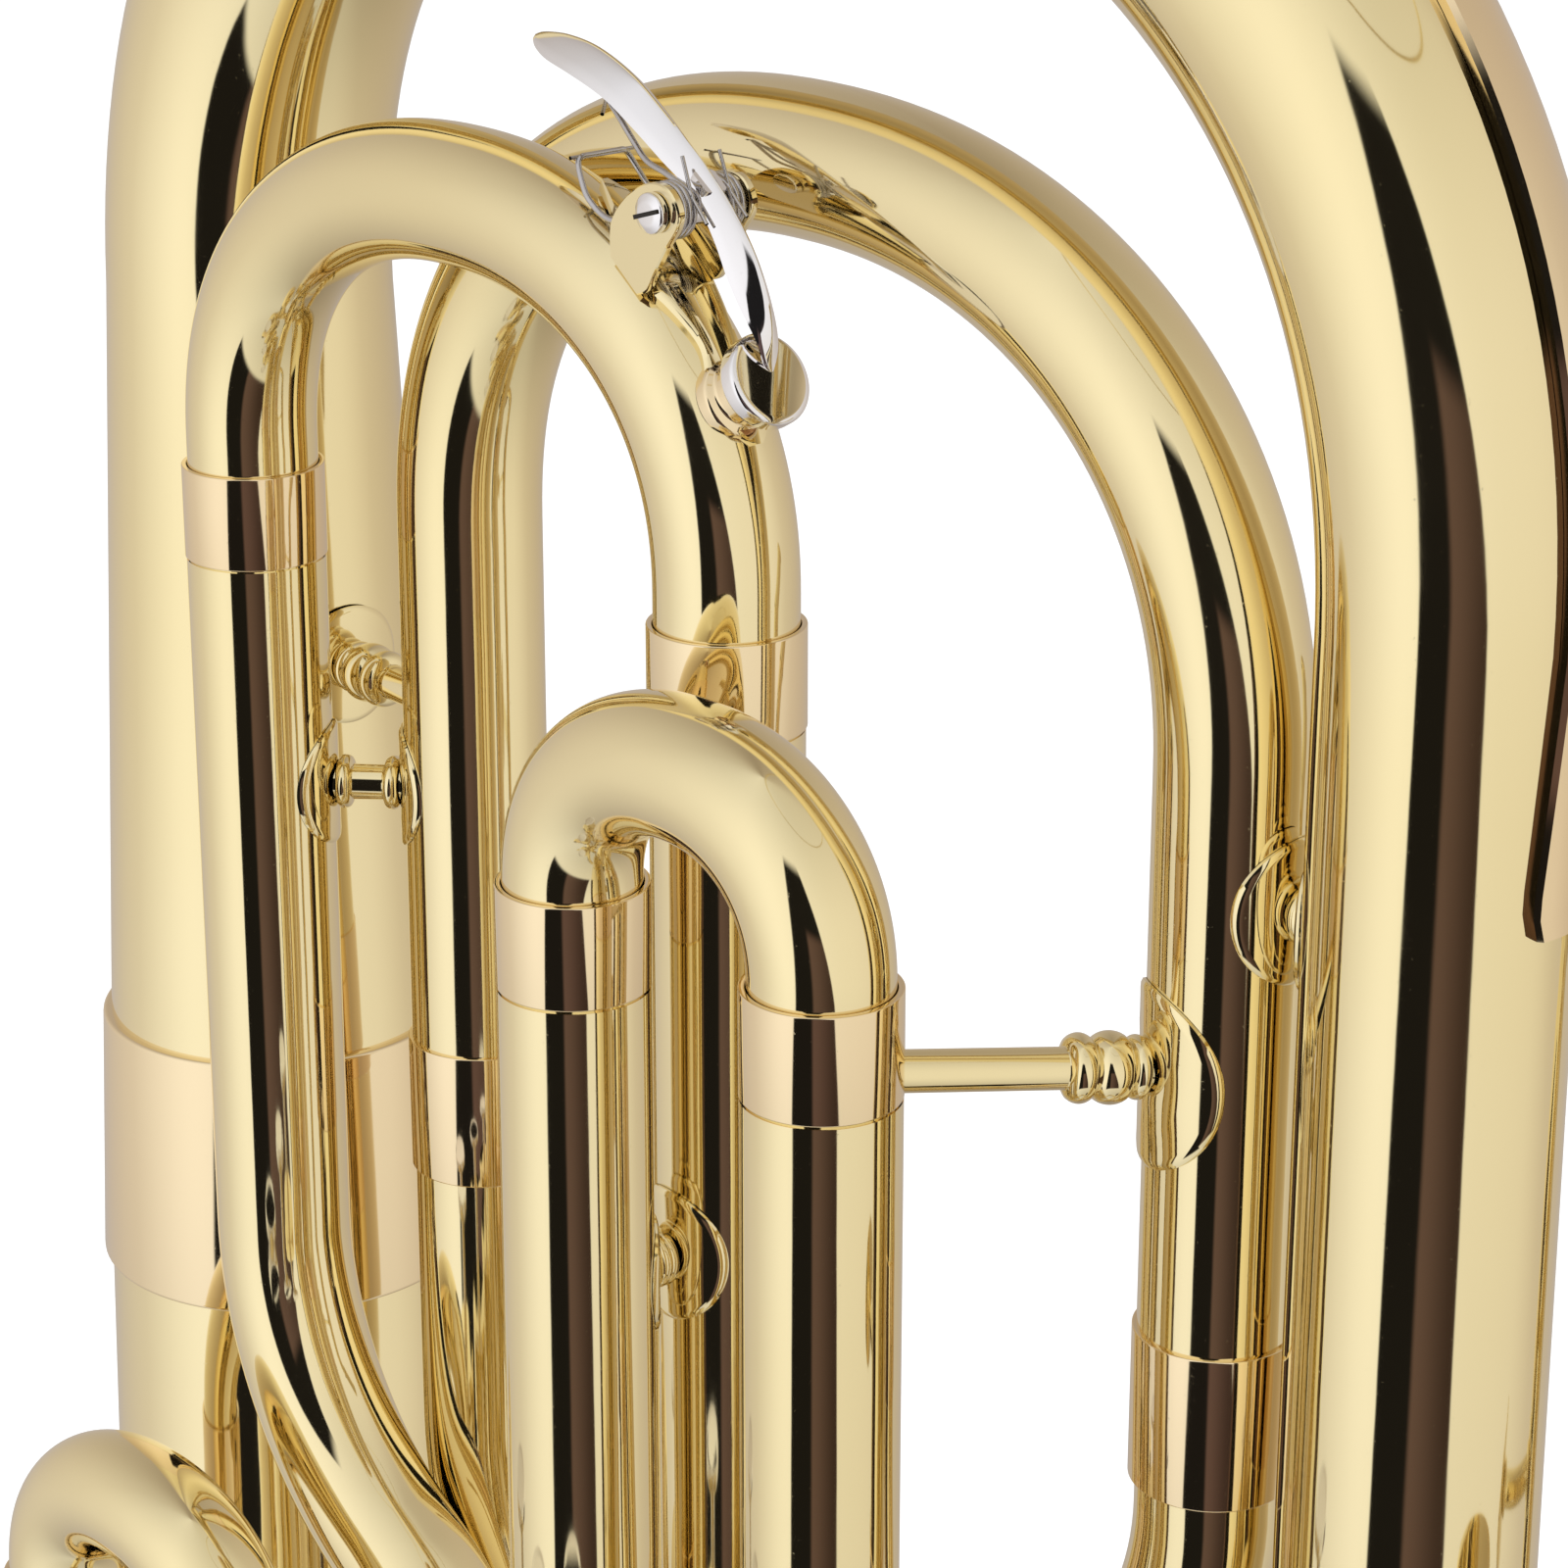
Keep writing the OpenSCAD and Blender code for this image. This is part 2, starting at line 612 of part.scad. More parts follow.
// Left sleeve of the tuning slide, which curves over to the third valve
module tuning_feed_tube() {
    slant = 5;
    // Radius of the curve back to the upright above the valve
    shift = valves[2][0] - ts_left[0] - slant * sin(feed_turn);
    small = round(shift / (1 - cos(feed_turn)) - feed_bend);
    end_z = feed_bend_z - (feed_bend + small) * sin(feed_turn) - slant * cos(feed_turn);
    port_bend = 20;
    foot = ts_rim - ts_ferrule_len - 0.25;
    t = ts_sleeve_r - ts_r - slide_fit;
    color(brass) {
        down_run(ts_left, foot, [
            [foot - feed_bend_z], [feed_bend, feed_turn, 0], [slant], [small, feed_turn, 180],
            [end_z - port_z - port_bend], [port_bend, 90, -90]], ts_sleeve_r, t);
        difference() {
            translate([valves[2][0] - shift + (feed_bend + small) * (1 - cos(feed_turn)), 0, port_z])
                rotate([-90, 0, 0]) tube(ts_y - port_bend, ts_sleeve_r, ts_sleeve_r, t);
            translate([valves[2][0], 0, port_z])
                cylinder(r = casing_r + solder, h = 6 * ts_sleeve_r, center = true);
        }
        translate([ts_left[0], ts_y, foot - 0.02]) sleeve_end(ts_r, ts_ferrule_len, ts_sleeve_r);
    }
}

module tuning_return_tube() {
    foot = ts_rim - ts_ferrule_len - 0.25;
    z = return_z + 6 + solder;
    color(brass) translate([ts_x, ts_y, 0]) {
        translate([0, 0, z]) tube(foot - z, ts_sleeve_r, ts_sleeve_r, ts_sleeve_r - ts_r - slide_fit);
        translate([0, 0, foot - 0.02]) sleeve_end(ts_r, ts_ferrule_len, ts_sleeve_r);
    }
}

module tuning_ferrules() {
    color(rose) for (p = [ts_left, ts_right])
        translate([p[0], p[1], ts_rim]) sleeve_ferrule(ts_r, ts_ferrule_r, ts_ferrule_len, ts_sleeve_r);
}

module tuning_slide_bow() {
    color(brass) difference() {
        bow_run(ts_right, ts_rim - bow_seat, bow_seat + ts_neck, ts_bend, ts_width - 2 * ts_bend, ts_r);
        on_shoulder(cup_t) rotate([0, 90, 0]) translate([0, 0, ts_bend]) cylinder(r = 1.7, h = 12);
    }
}

module tuning_slide_legs() {
    color(nickel) for (p = [ts_left, ts_right])
        translate([p[0], p[1], ts_rim - bow_seat - solder]) slide_leg(ts_r, ts_leg);
}

module water_key_nipple() {
    $fn = 180;
    color(brass) difference() {
        on_shoulder(cup_t) rotate([0, 90, 0]) {
            translate([0, 0, bow_top - 2]) cylinder(r = nipple_r, h = 2 + nipple_h);
            translate([0, 0, bow_top - 2]) cylinder(r = nipple_r + 1.1, h = 2.6);
        }
        translate(key_centre) rotate([90, 15 - cup_t, 0]) rotate_extrude(angle = 30)
            translate([ts_bend, 0]) circle(r = ts_r + solder);
        on_shoulder(cup_t) rotate([0, 90, 0]) cylinder(r = 1.7, h = 60);
    }
}

// Strap round the bow with two ears that hold the axle
module water_key_saddle() {
    foot = ts_r + solder;
    color(brass) difference() {
        union() {
            translate(key_centre) rotate([90, -38, 0]) rotate_extrude(angle = 30)
                intersection() {
                    translate([ts_bend, 0]) ring(foot + 0.7, foot);
                    translate([ts_bend, -ear_y]) square([20, 2 * ear_y]);
                }
            for (side = [-1, 1]) on_shoulder(axle_t)
                translate([0, side * (ear_y - 0.45), 0]) rotate([90, 0, 0])
                    linear_extrude(0.9, center = true) {
                        translate([axle_rho, 0]) circle(r = 2.6);
                        polygon([[axle_rho, 2.6], [axle_rho, -2.6],
                            [bow_top - 3.5, -4.4], [bow_top - 3.5, 4.4]]);
                    }
        }
        translate(key_centre) rotate([90, 0, 0]) rotate_extrude()
            translate([ts_bend, 0]) circle(r = foot);
        on_shoulder(axle_t) translate([axle_rho, 0, 0]) rotate([90, 0, 0])
            cylinder(r = axle_r + solder, h = 30, center = true);
    }
}

module water_key_screw() {
    color(nickel) on_shoulder(axle_t) translate([axle_rho, 0, 0]) rotate([90, 0, 0]) difference() {
        union() {
            translate([0, 0, -ear_y - 1.2]) cylinder(r = axle_r, h = 2 * ear_y + 1.4);
            translate([0, 0, ear_y + 0.1]) cylinder(r = 2, h = 1.1);
            translate([0, 0, -ear_y - 1.3]) cylinder(r = 1.7, h = 1.2);
        }
        translate([-0.25, -3, ear_y + 0.7]) cube([0.5, 6, 2]);
    }
}

// Torsion spring: a coil on each side of the lever's hub and an arm that bears on the strap
module water_key_spring() {
    color(nickel) on_shoulder(axle_t) translate([axle_rho, 0, 0]) rotate([90, 0, 0]) {
        for (side = [-1, 1]) {
            translate([0, 0, side > 0 ? 2.45 : -3.75]) coil(2.1, 0.28, 2, 1.3);
        }
    }
}

// Centre and radius of the circle through three points
function circle_through(a, b, c) =
    let(d = 2 * (a[0] * (b[1] - c[1]) + b[0] * (c[1] - a[1]) + c[0] * (a[1] - b[1])),
        aa = a * a, bb = b * b, cc = c * c,
        x = (aa * (b[1] - c[1]) + bb * (c[1] - a[1]) + cc * (a[1] - b[1])) / d,
        y = (aa * (c[0] - b[0]) + bb * (a[0] - c[0]) + cc * (b[0] - a[0])) / d)
    [x, y, norm([x, y] - a)];

module water_key_lever() {
    cup_top = bow_top + nipple_h + 2.6;
    at = function(rho, t) [rho * cos(t), rho * sin(t)];
    c = circle_through(at(cup_top + 0.3, cup_t), at(axle_rho + 3.4, axle_t), at(bow_top + tip_h, tip_t));
    a0 = atan2(at(cup_top, cup_t)[1] - c[1], at(cup_top, cup_t)[0] - c[0]);
    a1 = atan2(at(bow_top + tip_h, tip_t)[1] - c[1], at(bow_top + tip_h, tip_t)[0] - c[0]);
    color(nickel) {
        // Blade, curved over the axle
        translate(key_centre) intersection() {
            translate([c[0], 0, c[1]]) rotate([90, -a0, 0]) rotate_extrude(angle = a1 - a0)
                translate([c[2] - 0.55, -3.2]) square([1.1, 6.4]);
            rotate([0, -tip_t, 0]) translate([0, 0, -60]) linear_extrude(70)
                polygon([[10, -3.2], [60, -3.2], [60, 3.2], [10, 3.2]]);
        }
        // Hub on the axle
        on_shoulder(axle_t) difference() {
            union() {
                translate([axle_rho, 0, 0]) rotate([90, 0, 0]) cylinder(r = 1.75, h = 7.8, center = true);
                translate([axle_rho, -2, -1.3]) cube([3.4, 4, 2.6]);
            }
            translate([axle_rho, 0, 0]) rotate([90, 0, 0])
                cylinder(r = axle_r + slide_fit, h = 30, center = true);
        }
        // Cup that holds the cork
        on_shoulder(cup_t) rotate([0, 90, 0]) difference() {
            translate([0, 0, bow_top + nipple_h + 0.5]) cylinder(r = cup_r, h = 2.1);
            translate([0, 0, bow_top + nipple_h]) cylinder(r = cup_r - 0.45, h = 1.9);
        }
    }
}

module water_key_cork() {
    color([0.78, 0.55, 0.42]) on_shoulder(cup_t) rotate([0, 90, 0])
        translate([0, 0, bow_top + nipple_h + solder])
            cylinder(r = cup_r - 0.45 - solder, h = 1.9 - 2 * solder);
}

module first_slide_sleeves() {
    foot = first_rim - vs_ferrule_len - 0.25;
    t = vs_sleeve_r - vs_r - slide_fit;
    color(brass) {
        valve_leg(first_legs[0], foot, valves[0], upper_port, 20, vs_sleeve_r, t);
        valve_leg(first_legs[1], foot, valves[0], lower_port, 20, vs_sleeve_r, t);
        for (p = first_legs) translate([p[0], p[1], foot - 0.02])
            sleeve_end(vs_r, vs_ferrule_len, vs_sleeve_r);
    }
}

module first_slide_bow() {
    color(brass)
        bow_run(first_legs[1], first_rim - bow_seat, bow_seat, vs_bend, vs_width - 2 * vs_bend, vs_r);
}

module first_slide_legs() {
    color(nickel) for (p = first_legs)
        translate([p[0], p[1], first_rim - bow_seat - solder]) slide_leg(vs_r, first_leg);
}

// Places children on the second slide's legs: +Z points out towards the bow
module on_second(z) {
    translate([0, -second_rim, z]) rotate([90, 0, 0]) children();
}
second_ports = [port_z + second_width / 2, port_z - second_width / 2];

module second_slide_sleeves() {
    color(brass) for (z = second_ports) difference() {
        union() {
            on_second(z) translate([0, 0, -second_rim])
                tube(second_rim - vs_ferrule_len - 0.25, vs_sleeve_r, vs_sleeve_r,
                    vs_sleeve_r - vs_r - slide_fit);
            on_second(z) translate([0, 0, -vs_ferrule_len - 0.27])
                sleeve_end(vs_r, vs_ferrule_len, vs_sleeve_r);
        }
        translate([0, 0, z]) cylinder(r = casing_r + solder, h = 6 * vs_sleeve_r, center = true);
    }
}

module second_slide_bow() {
    bend = second_width / 2;
    color(brass) on_second(second_ports[1]) translate([0, 0, -bow_seat])
        pipe_run([[bow_seat], [bend, 180, 90], [bow_seat]], vs_r);
}

module second_slide_legs() {
    color(nickel) for (z = second_ports) on_second(z) translate([0, 0, -bow_seat - solder])
        slide_leg(vs_r, second_leg);
}

module third_slide_sleeves() {
    foot = third_rim - vs_ferrule_len - 0.25;
    t = vs_sleeve_r - vs_r - slide_fit;
    color(brass) {
        valve_leg(third_legs[0], foot, valves[2], lower_port - 2, 18, vs_sleeve_r, t);
        valve_leg(third_legs[1], foot, valves[2], upper_port, 15, vs_sleeve_r, t);
        for (p = third_legs) translate([p[0], p[1], foot - 0.02])
            sleeve_end(vs_r, vs_ferrule_len, vs_sleeve_r);
    }
}

module third_slide_bow() {
    color(brass)
        bow_run(third_legs[1], third_rim - bow_seat, bow_seat, vs_bend, vs_width - 2 * vs_bend, vs_r);
}

module third_slide_legs() {
    color(nickel) for (p = third_legs)
        translate([p[0], p[1], third_rim - bow_seat - solder]) slide_leg(vs_r, third_leg);
}

module valve_slide_ferrules() {
    color(rose) {
        for (p = first_legs) translate([p[0], p[1], first_rim])
            sleeve_ferrule(vs_r, vs_ferrule_r, vs_ferrule_len, vs_sleeve_r);
        for (p = third_legs) translate([p[0], p[1], third_rim])
            sleeve_ferrule(vs_r, vs_ferrule_r, vs_ferrule_len, vs_sleeve_r);
        for (z = second_ports) on_second(z)
            sleeve_ferrule(vs_r, vs_ferrule_r, vs_ferrule_len, vs_sleeve_r);
    }
}

// Casing of the valve v; ports lists [height, direction, radius] of the holes in its wall
module casing(v, ports) {
    color(brass) translate([v[0], v[1], 0]) difference() {
        translate([0, 0, casing_foot])
            tube(casing_top - casing_foot, casing_r, casing_r, casing_wall);
        for (p = ports) translate([0, 0, p[0]]) rotate([0, 90, p[1]]) cylinder(r = p[2], h = 2 * casing_r);
    }
}

vs_bore = vs_r - 0.5;
module valve_casing_1() {
    casing(valves[0], [
        [port_z, 0, lead_r - wall], [port_z, 180, vs_bore],
        [upper_port, heading(valves[0], first_legs[0]), vs_bore],
        [lower_port, heading(valves[0], first_legs[1]), vs_bore]]);
}

module valve_casing_2() {
    casing(valves[1], [
        [port_z, 0, vs_bore], [port_z, 180, vs_bore],
        [second_ports[0], -90, vs_bore], [second_ports[1], -90, vs_bore]]);
}

module valve_casing_3() {
    casing(valves[2], [
        [port_z, 0, vs_bore], [port_z, 90, vs_bore],
        [upper_port, heading(valves[2], third_legs[1]), vs_bore],
        [lower_port - 2, heading(valves[2], third_legs[0]), vs_bore]]);
}

cap_r = casing_r + 1.5;
module valve_top_caps() {
    color(brass) for (v = valves) translate([v[0], v[1], casing_top]) rotate_extrude() polygon([
        [casing_r + solder, -8], [cap_r - 0.5, -8], [cap_r, -7.5], [cap_r, 5.5], [cap_r - 1.5, 7.5],
        [stem_r + 2.5, 8], [stem_r + 0.1, 8], [stem_r + 0.1, solder], [casing_r + solder, solder]]);
}

module valve_bottom_caps() {
    color(brass) for (v = valves) translate([v[0], v[1], casing_foot]) rotate_extrude() polygon([
        [casing_r + solder, 8], [cap_r - 0.5, 8], [cap_r, 7.5], [cap_r, -3], [cap_r - 2, -5],
        [6, -6], [2.5, -7.5], [0, -8], [0, -2.5], [casing_r + solder, -solder - 0.05]]);
}

// Piston with its through passage, its two slide passages and the head under the cap
module piston(v) {
    color(nickel) translate([v[0], v[1], 0]) difference() {
        union() {
            translate([0, 0, piston_foot]) cylinder(r = piston_r, h = piston_len);
            translate([0, 0, piston_foot + piston_len - 1])
                cylinder(r = 6.5, h = casing_top - 0.6 - piston_foot - piston_len + 1);
        }
        translate([0, 0, port_z]) rotate([0, 90, 0])
            cylinder(r = vs_bore - 0.6, h = 3 * piston_r, center = true);
        translate([0, 0, upper_port + 8]) rotate([0, 75, 40])
            cylinder(r = 4.6, h = 3 * piston_r, center = true);
        translate([0, 0, lower_port + 6]) rotate([0, 75, 140])
            cylinder(r = 4.6, h = 3 * piston_r, center = true);
        translate([0, 0, piston_foot - 1]) cylinder(r = piston_r - 1.2, h = 4);
        translate([0, 0, casing_top - 9]) cylinder(r = stem_r + solder, h = 10);
    }
}
module piston_1() { piston(valves[0]); }
module piston_2() { piston(valves[1]); }
module piston_3() { piston(valves[2]); }

// Stem screwed into the piston, with its felt washer's collar and the finger button
module button(v) {
    h = button_top - casing_top;
    color(nickel) translate([v[0], v[1], casing_top]) {
        translate([0, 0, -8.8]) cylinder(r = stem_r, h = h + 8.8 - 3);
        translate([0, 0, h - 3]) rotate_extrude() polygon([
            [0, -2.5], [stem_r + 0.8, -2.5], [stem_r + 2, -0.6], [button_r - 0.6, 0.2], [button_r, 0.9],
            [button_r, 2.2], [button_r - 0.8, 3], [button_r - 2.2, 2.5], [0, 2.2]]);
    }
}
module button_1() { button(valves[0]); }
module button_2() { button(valves[1]); }
module button_3() { button(valves[2]); }

// Spring between the bottom cap and the piston, with the piston at rest
module valve_spring(v) {
    foot = casing_foot - 1;
    color(nickel) translate([v[0], v[1], foot + spring_wire])
        coil(7.6, spring_wire, spring_turns, piston_foot + 3 - foot - 2 * spring_wire - 0.1);
}
module valve_spring_1() { valve_spring(valves[0]); }
module valve_spring_2() { valve_spring(valves[1]); }
module valve_spring_3() { valve_spring(valves[2]); }

module crossover_tubes() {
    color(brass) for (i = [0, 1]) difference() {
        translate([valves[i][0], 0, port_z]) rotate([0, -90, 0]) tube(valve_pitch, vs_r, vs_r, 0.5);
        for (k = [i, i + 1]) translate([valves[k][0], 0, port_z])
            cylinder(r = casing_r + solder, h = 6 * vs_r, center = true);
    }
}

// From the first valve under the right branch, round behind the bell and up
lead_x = bell_axis[0] - 43.1;
lead_y = 115;
module leadpipe() {
    bend = 35;
    color(brass) difference() {
        translate([valves[0][0], 0, port_z]) rotate([0, 90, 0]) pipe_run([
            [lead_x - bend - valves[0][0]], [bend, 90, 90], [lead_y - 2 * bend], [bend, 90, 90],
            [lead_rise], [30, lead_turn, 180], [10]], lead_r);
        translate([valves[0][0], 0, port_z]) cylinder(r = casing_r + solder, h = 6 * lead_r, center = true);
    }
}
// Places children on the leadpipe's upper end, with +Z along its axis
module on_lead_end() {
    translate([lead_x, lead_y, port_z + 35 + lead_rise]) rotate([0, 0, 90])
        translate([30 * (1 - cos(lead_turn)), 0, 30 * sin(lead_turn)]) rotate([0, lead_turn, 0]) children();
}

module mouthpiece_receiver() {
    color(brass) on_lead_end() rotate_extrude() polygon([
        [lead_r + solder, 0], [lead_r + 1.4, 0], [lead_r + 1.8, 0.6], [lead_r + 1.8, 4],
        [lead_r + 1.2, 5], [lead_r + 1.2, 38], [lead_r + 2.4, 39.5], [lead_r + 2.4, 42],
        [lead_r + 1.9, 42.5], [receiver_bore, 42.5], [receiver_bore, 42.5 - receiver_depth],
        [lead_r - wall, 11], [lead_r - wall, 10 + solder], [lead_r + solder, 10 + solder]]);
}

// Ring for the thumb of the right hand, on the first valve's casing
module thumb_ring() {
    color(brass) translate([valves[0][0], 0, upper_port - 4]) difference() {
        union() {
            translate([0, -casing_r - 14, 0]) rotate([0, 90, 0]) rotate_extrude()
                translate([11, 0]) circle(r = 1.9);
            translate([0, -casing_r + 2, 0]) rotate([90, 0, 0]) cylinder(r = 3.5, h = 4.5);
        }
        cylinder(r = casing_r + solder, h = 30, center = true);
    }
}

module first_brace() {
    color(brass) brace(first_legs[1], mb_right, first_brace_z, vs_ferrule_r, mb_right_r,
        0, big_flange, first_brace_rise);
}

module tuning_brace() {
    color(brass) brace(first_legs[0], ts_right, tuning_brace_z, vs_sleeve_r, ts_sleeve_r,
        small_flange, small_flange, 0, true);
}

module right_brace() {
    color(brass) brace(tb_right, mb_right, right_brace_z, rb_foot_r, mb_right_r,
        small_flange, small_flange, 0, true);
}

module feed_brace() {
    color(brass) brace(ts_left, mb_left, feed_brace_z, ts_sleeve_r, mb_left_r,
        small_flange, small_flange, 0, true);
}

module left_brace() {
    color(brass) brace(mb_left, tb_left, left_brace_z, mb_left_r, left_r(left_brace_z),
        0, small_flange, 0, false, lb_taper);
}

module bell_brace() {
    z = 118;
    color(brass) brace(tb_right, bell_axis, z, rb_foot_r,
        bell_at((z - bb_z) / (bell_top - bb_z)) + 0.2, small_flange, big_flange);
}

module leadpipe_brace() {
    z = 120;
    color(brass) brace([lead_x, lead_y], bell_axis, z, lead_r,
        bell_at((z - bb_z) / (bell_top - bb_z)) + 0.2, 5.5, big_flange);
}

bell();
bell_rim_wire();
bottom_bow();
bottom_bow_guard();
body_ferrules();
left_branch_upper();
left_branch_lower();
top_bow();
top_bow_guard();
right_branch();
middle_bow();
middle_bow_ferrules();
low_bow();
return_bow();
tuning_feed_tube();
tuning_return_tube();
tuning_ferrules();
tuning_slide_bow();
tuning_slide_legs();
water_key_nipple();
water_key_saddle();
water_key_screw();
water_key_spring();
water_key_lever();
water_key_cork();
first_slide_sleeves();
first_slide_bow();
first_slide_legs();
second_slide_sleeves();
second_slide_bow();
second_slide_legs();
third_slide_sleeves();
third_slide_bow();
third_slide_legs();
valve_slide_ferrules();
valve_casing_1();
valve_casing_2();
valve_casing_3();
valve_top_caps();
valve_bottom_caps();
piston_1();
piston_2();
piston_3();
button_1();
button_2();
button_3();
valve_spring_1();
valve_spring_2();
valve_spring_3();
crossover_tubes();
leadpipe();
mouthpiece_receiver();
thumb_ring();
first_brace();
tuning_brace();
right_brace();
feed_brace();
left_brace();
bell_brace();
leadpipe_brace();
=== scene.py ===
# Baritone horn in lacquered brass: upright bell, three top valves, and the main tuning slide
# with its water key in front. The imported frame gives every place; lengths here are in metres.
from math import asin, cos, degrees, pi, radians, sin

import bmesh
import bpy
from mathutils import Matrix, Vector
from mathutils.bvhtree import BVHTree


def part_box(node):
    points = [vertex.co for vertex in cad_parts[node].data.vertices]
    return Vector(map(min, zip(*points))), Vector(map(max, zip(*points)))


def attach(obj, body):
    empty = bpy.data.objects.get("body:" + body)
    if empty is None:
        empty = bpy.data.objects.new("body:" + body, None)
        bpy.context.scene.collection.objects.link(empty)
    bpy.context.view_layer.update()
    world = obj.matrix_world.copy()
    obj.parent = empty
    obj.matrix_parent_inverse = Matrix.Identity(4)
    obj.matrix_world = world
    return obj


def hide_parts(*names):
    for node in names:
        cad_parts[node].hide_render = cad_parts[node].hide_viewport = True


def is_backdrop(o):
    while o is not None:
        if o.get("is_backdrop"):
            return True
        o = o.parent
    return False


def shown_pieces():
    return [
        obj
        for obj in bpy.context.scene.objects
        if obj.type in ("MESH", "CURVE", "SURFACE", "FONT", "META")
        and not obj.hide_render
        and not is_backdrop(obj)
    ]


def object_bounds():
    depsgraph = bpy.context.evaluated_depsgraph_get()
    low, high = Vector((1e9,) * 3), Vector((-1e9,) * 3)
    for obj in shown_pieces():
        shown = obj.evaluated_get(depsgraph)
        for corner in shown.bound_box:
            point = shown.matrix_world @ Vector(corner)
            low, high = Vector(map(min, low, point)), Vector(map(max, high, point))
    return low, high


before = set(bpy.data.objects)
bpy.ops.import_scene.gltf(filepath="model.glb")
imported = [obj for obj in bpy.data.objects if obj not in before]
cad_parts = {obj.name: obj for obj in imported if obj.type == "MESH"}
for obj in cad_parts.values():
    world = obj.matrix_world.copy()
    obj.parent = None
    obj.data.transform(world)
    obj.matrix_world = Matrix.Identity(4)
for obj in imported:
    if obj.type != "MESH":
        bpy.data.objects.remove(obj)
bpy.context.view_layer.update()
mm = 0.001
X, Y, Z = Vector((1, 0, 0)), Vector((0, 1, 0)), Vector((0, 0, 1))

# Camera: a short telephoto close to the horn, a little above the water key and to its right.
# It looks down across the four slides, so that the tubes fill the frame from top to bottom.
camera_place = Vector((296.8, -200.3, 327.9)) * mm
camera_turn = radians(47.75)
camera_down = radians(18.232)
camera_roll = radians(0.014)
camera_lens = 95.13
camera_sensor = 36.0
camera_shift_x = 0.0
camera_shift_y = -0.08
camera = bpy.data.objects.new("camera", bpy.data.cameras.new("camera"))
camera.data.lens = camera_lens
camera.data.sensor_width = camera_sensor
camera.data.sensor_fit = "AUTO"
camera.data.shift_x = camera_shift_x
camera.data.shift_y = camera_shift_y
camera.data.clip_start = 0.01
camera.data.clip_end = 50
camera.matrix_world = (
    Matrix.Translation(camera_place) @ Matrix.Rotation(camera_turn, 4, "Z")
    @ Matrix.Rotation(pi / 2 - camera_down, 4, "X") @ Matrix.Rotation(camera_roll, 4, "Z"))
bpy.context.scene.collection.objects.link(camera)
bpy.context.scene.camera = camera

# Image points in the photograph's frame of 1568 by 1568: the middle of what shows of a thing,
# or the edge or crest that is named. The object runs out of the frame on the other sides.
image_w, image_h = 1568, 1568
image_points = {
    "object_left": (4.1, None),
    "first_bow_crest": (None, 688.7),
    "middle_bow_crest": (None, 71.2),
    "tuning_bow_crest": (None, 117.5),
    "third_bow_crest": (None, 1429.0),
    "lever_tip": (532.9, 31.3),
    "cup": (772.8, 377.1),
    "axle_screw": (645.2, 214.5),
    "tuning_left_ferrule_left": (180.9, None),
    "tuning_right_ferrule_right": (808.1, None),
    "first_left_ferrule_left": (493.2, None),
    "first_right_ferrule_right": (905.8, None),
    "middle_right_ferrule_left": (1127.3, None),
    "brace_bead": (1110.9, 1067.4),
    "big_flange_right": (1225.0, None),
    "guard_tip": (None, 942.9),
}


def in_view(at):
    """Where a place shows in the photograph's frame."""
    p = camera.matrix_world.inverted() @ Vector(at)
    scale = image_w * camera_lens / camera_sensor / -p.z
    return (image_w / 2 - camera_shift_x * image_w + p.x * scale,
            image_h / 2 + camera_shift_y * image_w - p.y * scale)


# Bottom bow: the widest bend of the horn, rolled from sheet brass, brazed and lacquered. A
# guard of thicker brass is soldered over its outer side, where the horn rests on the floor.
class Socket:
    """An output of a shader node that takes part in sums; each sum adds a Math node."""

    def __init__(self, shader, plug):
        self.shader = shader
        self.plug = plug

    def math(self, operation, a, b):
        return self.shader.add("ShaderNodeMath", {"operation": operation}, {0: a, 1: b})

    def __add__(self, other):
        return self.math("ADD", self, other)

    def __sub__(self, other):
        return self.math("SUBTRACT", self, other)

    def __rsub__(self, other):
        return self.math("SUBTRACT", other, self)

    def __mul__(self, other):
        return self.math("MULTIPLY", self, other)

    __radd__ = __add__
    __rmul__ = __mul__


class Shader:
    """The node tree of a material or of the world."""

    def __init__(self, owner):
        owner.use_nodes = True
        self.tree = owner.node_tree
        self.tree.nodes.clear()

    def add(self, kind, settings=None, inputs=None, out=0):
        """Adds a node with its settings and its sockets' values or links; gives an output."""
        node = self.tree.nodes.new(kind)
        for name, value in (settings or {}).items():
            if name == "stops":
                ramp = node.color_ramp.elements
                while len(ramp) < len(value):
                    ramp.new(0.5)
                for stop, (place, colour) in zip(ramp, value):
                    stop.position = place
                    stop.color = (*colour, 1)
                node.color_ramp.interpolation = "B_SPLINE"
            else:
                setattr(node, name, value)
        for name, value in (inputs or {}).items():
            if isinstance(value, Socket):
                self.tree.links.new(value.plug, node.inputs[name])
            else:
                node.inputs[name].default_value = value
        return Socket(self, node.outputs[out]) if node.outputs else None

    def step(self, value, low, high):
        """0 below low and 1 above high, with a smooth change between."""
        return self.add("ShaderNodeMapRange", {"interpolation_type": "SMOOTHSTEP"},
                        {"Value": value, "From Min": low, "From Max": high})

    def noise(self, scale, detail):
        """Soft noise fixed to the metal, in patches of about a metre over the scale."""
        where = self.add("ShaderNodeTexCoord", out="Object")
        return self.add("ShaderNodeTexNoise", None,
                        {"Vector": where, "Scale": scale, "Detail": detail}, "Fac")

    def blend(self, share, a, b):
        """Colour that goes from a to b as the share goes from 0 to 1."""
        return self.add("ShaderNodeMix", {"data_type": "RGBA"}, {"Factor": share, 6: a, 7: b}, 2)

    def rays(self):
        """Whether a ray comes from the camera, a mirror or a glass."""
        return [self.add("ShaderNodeLightPath", None, None, f"Is {kind} Ray")
                for kind in ("Camera", "Glossy", "Transmission")]


